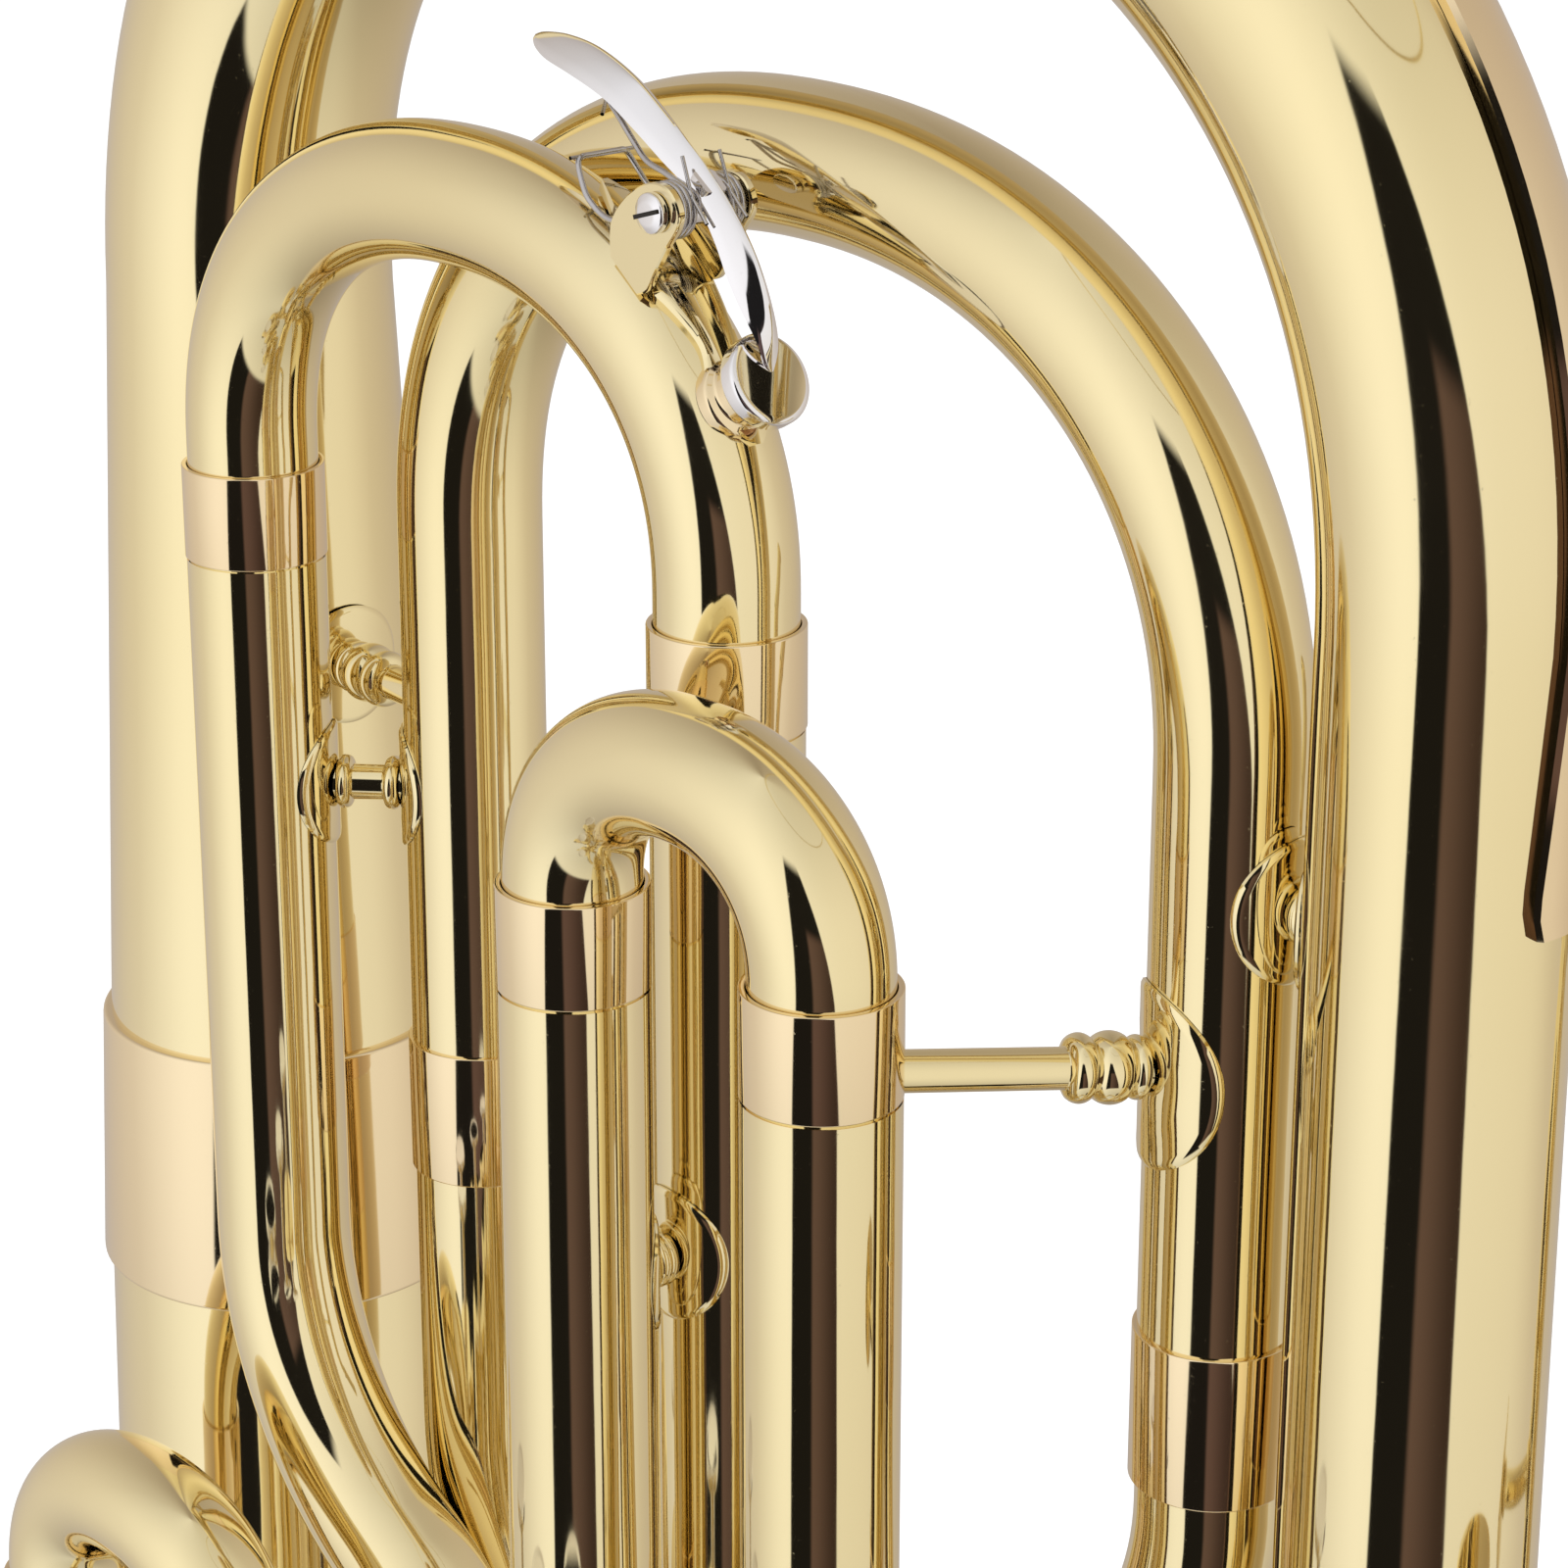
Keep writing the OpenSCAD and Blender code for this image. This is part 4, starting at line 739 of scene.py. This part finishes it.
def spring_half(side, loop):
    """Places along one side of the wire, for the lever's loop or for the rest."""
    def knot(h, t, y):
        return over_bow(bow_top + h * mm, t, side * y * mm)

    coil = []
    for i in range(46):
        a = radians(180 + 900 * i / 45)
        coil.append(axle + (outward(axle_t) * cos(a) + key_along * sin(a)) * coil_r
                    + Y * side * (3.85 - 1.5 * i / 45) * mm)
    if loop:
        return [*coil[-2:], knot(8.6, 56.4, 2.15), knot(7.5, 60, 1.8), knot(7.6, 63.5, 1.3),
                knot(8.2, 67, 0.9), knot(8.9, 70, 0.6), knot(9.1, 71, 0)]
    return [knot(3.1, 69.6, 0), knot(3.1, 69.6, 1.6), knot(3.1, 69.5, 2.7), knot(2.6, 69, 3.2),
            knot(1.6, 67, 3.6), knot(0.75, 64.5, 3.85), knot(0.7, 60.5, 3.85),
            knot(2.4, 56.5, 3.85), *coil]


for name, loop, body, nodes in (("key_spring", False, "tuning_slide", ["water_key_spring"]),
                                ("key_spring_loop", True, "water_key", [])):
    wires = [tube(smooth_line(spring_half(side, loop), 4), 0.3 * mm, 0.1 * mm, 14)
             for side in (-1, 1)]
    piece(name, wires, steel, body, nodes)

# The forged lever has a ridge along its back. Each row is an angle on the shoulder, and in
# millimetres the ridge's height above the bow, half the blade's width and its edges' drop.
lever_rows = [(30.6, 5.8, 0.2, 0.05), (31.8, 6.4, 0.8, 0.2), (33.5, 7.4, 1.25, 0.6),
              (35.8, 8.5, 1.6, 1.4), (38.5, 9.4, 1.9, 2.1), (42, 10.2, 2.0, 2.5),
              (46, 10.7, 1.9, 2.2), (50, 11.0, 1.8, 1.9), (54, 11.2, 1.8, 1.9),
              (58, 11.4, 2.1, 2.1), (63, 11.9, 2.45, 2.2), (68, 12.5, 2.65, 2.35),
              (74, 12.7, 2.8, 2.5), (78.5, 12.3, 2.6, 2.1), (81.3, 11.8, 2.0, 1.3),
              (83, 11.4, 1.2, 0.5), (83.8, 11.1, 0.4, 0.1)]


def blade():
    """Blade whose section is a low roof with rounded edges."""
    rings = []
    for t, ridge, half, drop in through([Vector(row) for row in lever_rows], 6):
        section = []
        for j in range(-10, 11):
            y = j / 10
            section.append((half * y,
                            ridge - drop * abs(y) ** 1.3 - 0.15 * max(0, abs(y) * 5 - 4)))
        for j in range(9, -10, -1):
            y = j / 10
            section.append((half * y, ridge - drop * abs(y) ** 1.3 - 0.75 + 0.3 * abs(y)))
        rings.append([over_bow(bow_top + h * mm, t, w * mm) for w, h in section])
    return skin(rings, ends=True)


cup_seat = over_bow(bow_top + nipple_h, cup_t)
cup = lathe(softened([(0, 2.85 * mm), (cup_r - 0.45 * mm, 2.6 * mm), (cup_r, 2.25 * mm),
                      (cup_r, 0.55 * mm), (cup_r - 0.45 * mm, 0.5 * mm),
                      (cup_r - 0.5 * mm, 1.9 * mm)], 0.3 * mm), cup_seat, outward(cup_t))
hub = lathe(softened([(axle_r, -hub_half), (hub_r, -hub_half), (hub_r, hub_half), (axle_r, hub_half)],
                     0.25 * mm), axle, Y, 48)
web = skin([[axle + outward(axle_t) * h + key_along * 1.35 * mm * u + Y * w * v for u, v in (
    (-1, -0.8), (-0.8, -1), (0.8, -1), (1, -0.8), (1, 0.8), (0.8, 1), (-0.8, 1), (-1, 0.8))]
    for h, w in ((0.5 * mm, 2.3 * mm), (1.8 * mm, 1.5 * mm), (3.3 * mm, 1.3 * mm))], ends=True)
piece("key_lever", [blade(), cup, hub, web], nickel, "water_key", ["water_key_lever"], crease=50)
cork_r = cup_r - 0.55 * mm
piece("key_cork", [lathe(softened([(0, 0.1 * mm), (cork_r - 0.15 * mm, 0.08 * mm), (cork_r, 0.5 * mm),
                                   (cork_r, 1.8 * mm), (0, 1.8 * mm)], 0.25 * mm),
                         cup_seat, outward(cup_t), 64)], cork, "water_key", ["water_key_cork"])

# Valve slides: the first and the third stand up in front of the branches, and the short one of
# the second valve points away from the player. Each bow slides on two nickel silver legs.
valve_tube_r, valve_sleeve_r = 6.82 * mm, 7.5 * mm
valve_ferrule_r, valve_ferrule_len = 7.55 * mm, 10.5 * mm
valve_bend = 15.67 * mm
bow_seat = 6 * mm


def valve_slide(name, body, valve, ports, bends):
    """Sleeves, bow and legs of an upright valve slide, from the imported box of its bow."""
    lo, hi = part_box(name + "_bow")
    y, rim = (lo.y + hi.y) / 2, lo.z + bow_seat
    left, right = lo.x + valve_tube_r, hi.x - valve_tube_r
    spring = hi.z - valve_tube_r - valve_bend
    top = rim - valve_ferrule_len - 0.25 * mm
    sleeves = []
    for x, port, bend in zip((left, right), ports, bends):
        way = Vector((valve.x - x, valve.y - y, 0))
        sleeves.append(tube(route((x, y, top), -Z, top - port - bend, (bend, 90, way),
                                  way.length - bend - casing_r + 0.8 * mm), valve_sleeve_r))
        sleeves.append(sleeve_neck(x, y, top, valve_tube_r, valve_sleeve_r, valve_ferrule_len - 1 * mm))
    piece(name + "_sleeves", sleeves, brass, "horn", [name + "_sleeves"])
    piece(name + "_bow", [tube(bow_run(right, y, lo.z, spring, left, valve_bend), valve_tube_r)],
          brass, body, [name + "_bow"])
    slide_legs(name + "_legs", body, name + "_legs",
               [(x, y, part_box(name + "_legs")[0].z) for x in (left, right)], Z,
               valve_tube_r - 0.04 * mm)
    return [slide_ferrule((x, y, rim), Z, valve_tube_r, valve_ferrule_r, valve_ferrule_len)
            for x in (left, right)]


slide_ferrules = valve_slide("first_slide", "first_slide", valves[0], (29 * mm, -25 * mm),
                             (20 * mm, 20 * mm))
slide_ferrules += valve_slide("third_slide", "third_slide", valves[2], (-27 * mm, 29 * mm),
                              (18 * mm, 15 * mm))
lo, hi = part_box("second_slide_bow")
second_rim = hi.y - bow_seat
second_x = (lo.x + hi.x) / 2
second_z = (lo.z + valve_tube_r, hi.z - valve_tube_r)
second_bend = (second_z[1] - second_z[0]) / 2
piece("second_slide_sleeves", [part for z in second_z for part in (
    tube(route((second_x, second_rim + valve_ferrule_len + 0.25 * mm, z), Y,
               -second_rim - valve_ferrule_len - casing_r + 0.8 * mm), valve_sleeve_r),
    tube(route((second_x, second_rim + 2 * mm, z), Y, valve_ferrule_len - 1 * mm),
         (valve_sleeve_r + valve_tube_r) / 2))], brass, "horn", ["second_slide_sleeves"])
piece("second_slide_bow", [tube(route((second_x, hi.y, second_z[0]), -Y, bow_seat,
                                      (second_bend, 180, Z), bow_seat), valve_tube_r)],
      brass, "second_slide", ["second_slide_bow"])
slide_legs("second_slide_legs", "second_slide", "second_slide_legs",
           [(second_x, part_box("second_slide_legs")[1].y, z) for z in second_z], -Y,
           valve_tube_r - 0.04 * mm)
slide_ferrules += [slide_ferrule((second_x, second_rim, z), -Y, valve_tube_r, valve_ferrule_r,
                                 valve_ferrule_len) for z in second_z]
piece("slide_ferrules", slide_ferrules, rose, "horn", ["valve_slide_ferrules"])

# Valves: three brass casings with screwed caps. The pistons inside are nickel-plated and stand
# on steel springs; their stems carry the finger buttons.
casing_lo, casing_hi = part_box("valve_casing_2")
cap_r = casing_r + 1.5 * mm
for i, at in enumerate(valves, 1):
    piece(f"casing_{i}", [tube(route((at.x, at.y, casing_lo.z), Z, casing_hi.z - casing_lo.z),
                               casing_r, 1.45 * mm)], brass, "horn", [f"valve_casing_{i}"])


def knurl(bottom, top, radius):
    """Grooved grip round a cap."""
    return [(radius - (0.0 if i % 2 else 0.25 * mm), bottom + (top - bottom) * i / 6)
            for i in range(7)]


top_cap = softened([(casing_r + 0.05 * mm, -8 * mm), (cap_r - 0.4 * mm, -8 * mm), (cap_r, -7.4 * mm),
                    (cap_r, -5 * mm), *knurl(-4.8 * mm, 1.2 * mm, cap_r), (cap_r, 1.4 * mm),
                    (cap_r, 5.5 * mm), (cap_r - 1.5 * mm, 7.5 * mm), (6.5 * mm, 7.9 * mm),
                    (5 * mm, 8 * mm), (2.6 * mm, 8 * mm), (2.6 * mm, 0.5 * mm)], 0.25 * mm)
bottom_cap = softened([(casing_r + 0.05 * mm, 8 * mm), (cap_r - 0.4 * mm, 8 * mm), (cap_r, 7.4 * mm),
                       (cap_r, 5 * mm), *knurl(4.8 * mm, -1.2 * mm, cap_r), (cap_r, -1.4 * mm),
                       (cap_r, -3 * mm), (cap_r - 2 * mm, -5 * mm), (6 * mm, -6 * mm),
                       (2.5 * mm, -7.5 * mm), (0, -8 * mm)], 0.25 * mm)
piece("top_caps", [lathe(top_cap, (at.x, at.y, casing_hi.z), Z) for at in valves], brass, "horn",
      ["valve_top_caps"])
piece("bottom_caps", [lathe(bottom_cap, (at.x, at.y, casing_lo.z), Z) for at in valves], brass, "horn",
      ["valve_bottom_caps"])
button_r = 8.6 * mm
for i, at in enumerate(valves, 1):
    node = f"button_{i}"
    low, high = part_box(node)[0].z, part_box(node)[1].z
    stem = [(0, low), (2.5 * mm, low), (2.5 * mm, high - 5.4 * mm), (3.4 * mm, high - 5.3 * mm),
            (4.4 * mm, high - 3.6 * mm), (button_r - 0.6 * mm, high - 2.8 * mm),
            (button_r, high - 2.1 * mm), (button_r, high - 0.7 * mm), (button_r - 0.8 * mm, high),
            (button_r - 2.2 * mm, high - 0.5 * mm), (0, high - 0.8 * mm)]
    piece(f"finger_{node}", [lathe(softened(stem, 0.4 * mm), (at.x, at.y, 0), Z)], nickel,
          f"valve_{i}", [node])
    for kept, finish in ((f"piston_{i}", nickel), (f"valve_spring_{i}", steel)):
        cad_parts[kept].data.materials.clear()
        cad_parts[kept].data.materials.append(finish)
piece("crossovers", [tube(route((a.x - casing_r + 0.8 * mm, a.y, port_z), -X,
                                a.x - b.x - 2 * casing_r + 1.6 * mm), valve_tube_r, 0.5 * mm)
                     for a, b in zip(valves, valves[1:])], brass, "horn", ["crossover_tubes"])

# Leadpipe: from the first valve it passes below the branches, turns up behind the bell and
# leans towards the player. The receiver on its end takes the mouthpiece.
lead_r = 6.4 * mm
lead_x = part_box("leadpipe")[1].x - lead_r
lead_y = 115 * mm
lead_turn = asin(0.8)
lead_run = route((valves[0].x + casing_r - 0.8 * mm, 0, port_z), X,
                 lead_x - 35 * mm - valves[0].x - casing_r + 0.8 * mm, (35 * mm, 90, Y),
                 lead_y - 70 * mm, (35 * mm, 90, Z), 110 * mm, (30 * mm, degrees(lead_turn), Y), 10 * mm)
piece("leadpipe", [tube(lead_run, lead_r)], brass, "horn", ["leadpipe"])
lead_end, lead_way = lead_run[-1]
lead_end = lead_end - lead_way * 10 * mm
shank_r = 6.2 * mm
receiver = softened([(lead_r, 0), (lead_r + 1.4 * mm, 0), (lead_r + 1.8 * mm, 0.6 * mm),
                     (lead_r + 1.8 * mm, 4 * mm), (lead_r + 1.2 * mm, 5 * mm),
                     (lead_r + 1.2 * mm, 38 * mm), (lead_r + 2.4 * mm, 39.5 * mm),
                     (lead_r + 2.4 * mm, 42 * mm), (lead_r + 1.9 * mm, 42.5 * mm),
                     (shank_r, 42.5 * mm), (shank_r, 12.5 * mm), (5.8 * mm, 11 * mm)], 0.3 * mm)
piece("receiver", [lathe(receiver, lead_end, lead_way)], brass, "horn", ["mouthpiece_receiver"])

# Thumb ring: a brass ring on a short foot, soldered to the first valve's casing.
ring_lo, ring_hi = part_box("thumb_ring")
ring_wire = 1.9 * mm
ring_half = (ring_hi.z - ring_lo.z) / 2
ring_centre = Vector((valves[0].x, ring_lo.y + ring_half, (ring_lo.z + ring_hi.z) / 2))
ring = [(ring_half - ring_wire + ring_wire * cos(a), ring_wire * sin(a))
        for a in (2 * pi * i / 24 for i in range(25))]
ring_foot = softened([(4.6 * mm, 0), (3.7 * mm, 0.6 * mm), (2.6 * mm, 2.2 * mm), (2.4 * mm, 4.2 * mm)],
                     0.3 * mm)
piece("thumb_ring", [lathe(ring, ring_centre, X),
                     lathe(ring_foot, (valves[0].x, -casing_r + 0.2 * mm, ring_centre.z), -Y, 48)],
      brass, "horn", ["thumb_ring"])

# Braces: turned rods between the tubes, each on a flange that is cut from sheet, curved to its
# tube and soft-soldered. They hold the slides' sleeves parallel.
rod_r = 2 * mm
flange_t = 0.55 * mm


def flange(centre, way, radius, disc):
    """Round flange wrapped on an upright tube, facing along the direction."""
    side = Z.cross(way).normalized()
    rings = []
    for share, rise in ((0, 1), (0.3, 1), (0.6, 1), (0.9, 1), (0.96, 0.93), (1, 0.6), (1, 0.1)):
        ring = []
        for j in range(72):
            a = 2 * pi * j / 72
            r = radius + flange_t * rise
            bend = disc * share * cos(a) / r
            ring.append(centre + way * r * cos(bend) + side * r * sin(bend) + Z * disc * share * sin(a))
        rings.append(ring)
    return skin(rings)


def bead(radius, low, length, deep, sides=10):
    """Profile of a turned bead, with the depth of the grooves beside it."""
    return [(radius - deep * (1 - sin(pi * i / sides) ** 0.55), low + length * i / sides)
            for i in range(sides + 1)]


def boss(short):
    """Profile of the turned end of a rod, from the flange outwards."""
    beads = bead(rod_r + 1.05 * mm, flange_t + 0.05 * mm, 1.65 * mm, 0.6 * mm)
    if not short:
        beads += bead(rod_r + 1.45 * mm, flange_t + 1.85 * mm, 3.3 * mm, 0.8 * mm)
        beads += bead(rod_r + 1.3 * mm, flange_t + 5.3 * mm, 2.5 * mm, 0.8 * mm)
    end = beads[-1][1]
    return beads + [(rod_r + 0.05 * mm, end + 0.1 * mm), (rod_r - 0.1 * mm, end + 0.4 * mm)]


def brace(name, a, b, z, radius_a, radius_b, flange_a, flange_b, rise=0.0, short=True):
    """Rod from the upright tube at a to the one at b, with their radii and flange radii."""
    a, b = Vector((*a, z + rise)), Vector((*b, z))
    way = (Vector((a.x, a.y, b.z)) - b).normalized()
    lean_way = (a - b).normalized()
    parts = [flange(b, way, radius_b, flange_b),
             lathe(boss(short), b + lean_way * radius_b, lean_way, 64),
             tube(route(b + lean_way * (radius_b - 0.5 * mm), lean_way,
                        (a - b).length - radius_a - radius_b + 1 * mm), rod_r, 0.5 * mm, 48)]
    if flange_a:
        parts += [flange(a, -way, radius_a, flange_a), lathe(boss(True), a - way * radius_a, -way, 64)]
    return piece(name, parts, brass, "horn", [name])


first_lo, first_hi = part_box("first_slide_bow")
first_y = (first_lo.y + first_hi.y) / 2
first_left, first_right = first_lo.x + valve_tube_r, first_hi.x - valve_tube_r
first_brace_z = 171.5 * mm
brace("first_brace", (first_right, first_y), (middle_right, middle_y), first_brace_z,
      valve_ferrule_r - 0.4 * mm, middle_small, 0, 9 * mm, 4 * mm, False)
brace("tuning_brace", (first_left, first_y), (tuning_right, tuning_y), 141.3 * mm, valve_sleeve_r,
      tuning_sleeve_r, 7 * mm, 7 * mm)
brace("right_brace", (top_right, top_y), (middle_right, middle_y), 189 * mm, right_r - 0.1 * mm,
      middle_small, 7 * mm, 7 * mm)
brace("feed_brace", (tuning_left, tuning_y), (middle_left, middle_y), 169 * mm, tuning_sleeve_r,
      middle_wide, 7 * mm, 7 * mm)
brace("left_brace", (middle_left, middle_y), (top_left, top_y), 177 * mm, middle_wide,
      branch_at(177 * mm), 0, 7 * mm, short=False)
brace("bell_brace", (top_right, top_y), (bell_x, bottom_y), 118 * mm, right_r,
      bell_at(118 * mm) + 0.1 * mm, 7 * mm, 9 * mm)
brace("leadpipe_brace", (lead_x, lead_y), (bell_x, bottom_y), 120 * mm, lead_r,
      bell_at(120 * mm) + 0.1 * mm, 5.5 * mm, 9 * mm)

# Studio: a plain pale floor under the horn, one wide softbox, and white walls with a dark gap
# where the photographer stands. The polished tubes mirror that gap as their dark bands, and the
# floor and the softbox are kept out of their reflections.
floor_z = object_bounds()[0].z - 0.2 * mm
floor = bpy.data.objects.new("floor", bpy.data.meshes.new("floor"))
rings = [[Vector((cos(2 * pi * j / 48) * r, sin(2 * pi * j / 48) * r, floor_z))
          for j in range(48)] for r in (0.2, 0.6, 1.8, 6.0)]
points, faces = skin(rings)
floor.data.from_pydata(points, [], faces + [tuple(range(48))])
bpy.context.scene.collection.objects.link(floor)
pale = bpy.data.materials.new("pale_floor")
s = Shader(pale)
camera_ray, mirror_ray, glass_ray = s.rays()
paper = s.add("ShaderNodeBsdfDiffuse", None, {"Color": (0.86, 0.86, 0.86, 1)})
glow = s.add("ShaderNodeEmission", None,
             {"Color": (1, 1, 1, 1), "Strength": (camera_ray + mirror_ray + glass_ray) * 0.30})
s.add("ShaderNodeOutputMaterial", None, {
    "Surface": s.add("ShaderNodeAddShader", None, {0: paper, 1: glow})})
floor.data.materials.append(pale)
floor.visible_glossy = False
floor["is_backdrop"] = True

lamp = bpy.data.objects.new("softbox", bpy.data.lights.new("softbox", "AREA"))
lamp.data.shape = "RECTANGLE"
lamp.data.size, lamp.data.size_y = 1.6, 1.2
lamp.data.energy = 7
lamp.location = (-0.3, -0.2, 1.9)
lamp.visible_glossy = False
bpy.context.scene.collection.objects.link(lamp)

studio = bpy.data.worlds.new("studio")
bpy.context.scene.world = studio
s = Shader(studio)
look = s.add("ShaderNodeTexCoord", None, None, "Generated")
split = s.add("ShaderNodeSeparateXYZ", None, {0: look})
lx, ly, lz = (Socket(s, split.plug.node.outputs[i]) for i in range(3))
# Directions: degrees of turn from the middle of the gap, and of lift above the horizon.
gap_x, gap_y = 0.73, -0.6835
turn = degrees(1) * s.add("ShaderNodeMath", {"operation": "ARCTAN2"},
                          {0: gap_x * ly - gap_y * lx, 1: gap_x * lx + gap_y * ly})
lift = degrees(1) * s.add("ShaderNodeMath", {"operation": "ARCSINE"}, {0: lz})
band = s.step(turn - 0.31 * lift, -33, -31) * (1 - s.step(turn + 0.45 * lift, 10, 12))
band = band * s.step(lift, -45, -42) * (1 - s.step(lift, 30, 38))
core = s.step(turn, -14, -9) * (1 - s.step(lift, 2, 8))
# Tones of the walls by turn, from the far side round past the gap and back.
walls = s.add("ShaderNodeValToRGB", {"stops": [
    (0.0, (0.40, 0.35, 0.31)), (0.11, (0.55, 0.50, 0.46)), (0.22, (0.71, 0.68, 0.66)),
    (0.27, (0.80, 0.785, 0.78)), (0.335, (0.98, 0.98, 1.0)), (0.39, (0.98, 0.98, 1.0)),
    (0.50, (0.84, 0.83, 0.82)), (0.59, (0.81, 0.79, 0.755)), (0.72, (0.79, 0.76, 0.72)),
    (0.79, (0.62, 0.57, 0.52)), (0.92, (0.48, 0.42, 0.37)), (1.0, (0.40, 0.35, 0.31))]},
    {"Fac": turn * (1 / 360) + 0.5})
level = 1 - 0.22 * s.step(lift, 5, 75) - 0.36 * s.step(0 - lift, 10, 80)
walls = s.add("ShaderNodeVectorMath", {"operation": "SCALE"}, {0: walls, "Scale": level * 1.17})
brown = s.blend(s.step(turn, -14, 24), (0.135, 0.088, 0.083, 1), (0.05, 0.032, 0.028, 1))
walls = s.blend(band, walls, s.blend(core, (0.013, 0.012, 0.012, 1), brown))
camera_ray, mirror_ray, glass_ray = s.rays()
room = s.blend(camera_ray + glass_ray, s.blend(mirror_ray, (0.9, 0.9, 0.9, 1), walls), (1, 1, 1, 1))
s.add("ShaderNodeOutputWorld", None, {"Surface": s.add("ShaderNodeBackground", None, {
    "Color": room, "Strength": 1.0})})
bpy.context.scene.view_settings.view_transform = "Standard"

# How far each image point is from what shows there. A thing shows where nothing of
# the horn stands between it and the camera.
bpy.context.view_layer.update()
solids = [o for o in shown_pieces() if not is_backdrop(o)]
points, faces = [], []
for o in solids:
    faces += [tuple(i + len(points) for i in face.vertices) for face in o.data.polygons]
    points += [o.matrix_world @ v.co for v in o.data.vertices]
horn_tree = BVHTree.FromPolygons(points, faces)


def shows(at):
    """True if nothing hides a place on the horn from the camera."""
    way = at - camera_place
    hit = horn_tree.ray_cast(camera_place, way.normalized())[3]
    return hit is None or hit > way.length - 0.4 * mm


def edge(names, axis, sign, low=-1, high=1):
    """Furthest place in x or y of what shows of some pieces, between two places along X."""
    spots = []
    for o in solids:
        if not names or o.name[6:] in names:
            for at in (o.matrix_world @ v.co for v in o.data.vertices):
                p = in_view(at)
                if low <= at.x <= high and 0 <= p[0] <= image_w and 0 <= p[1] <= image_h:
                    spots.append((p, at))
    for p, at in sorted(spots, key=lambda spot: -sign * spot[0][axis]):
        if shows(at):
            return (p[0], None) if axis == 0 else (None, p[1])
    return (None, None)


bead_at = Vector((first_right - middle_right, first_y - middle_y, 4 * mm)).normalized()
found = {
    "object_left": edge((), 0, -1),
    "first_bow_crest": edge(("first_slide_bow",), 1, -1),
    "middle_bow_crest": edge(("middle_bow",), 1, -1),
    "tuning_bow_crest": edge(("tuning_bow",), 1, -1),
    "third_bow_crest": edge(("third_slide_bow",), 1, -1),
    "lever_tip": edge(("key_lever",), 0, -1)[:1] + edge(("key_lever",), 1, -1)[1:],
    "cup": in_view(over_bow(bow_top + nipple_h + 2.7 * mm, cup_t)),
    "axle_screw": in_view(axle - Y * (ear_y + 1.3 * mm)),
    "tuning_left_ferrule_left": edge(("tuning_ferrules",), 0, -1, -1, key_centre.x - tuning_bend),
    "tuning_right_ferrule_right": edge(("tuning_ferrules",), 0, 1, key_centre.x, 1),
    "first_left_ferrule_left": edge(("slide_ferrules",), 0, -1, 0, 1),
    "first_right_ferrule_right": edge(("slide_ferrules",), 0, 1, 0, 1),
    "middle_right_ferrule_left": edge(("middle_ferrules",), 0, -1, 0, 1),
    "brace_bead": in_view(Vector((middle_right, middle_y, first_brace_z))
                          + bead_at * (middle_small + flange_t + 3.3 * mm)),
    "big_flange_right": edge(("first_brace",), 0, 1),
    "guard_tip": edge(("top_guard",), 1, 1),
}
({name: [None if a is None or b is None else round(b - a, 1)
                  for a, b in zip(image_points[name], found[name])] for name in image_points})
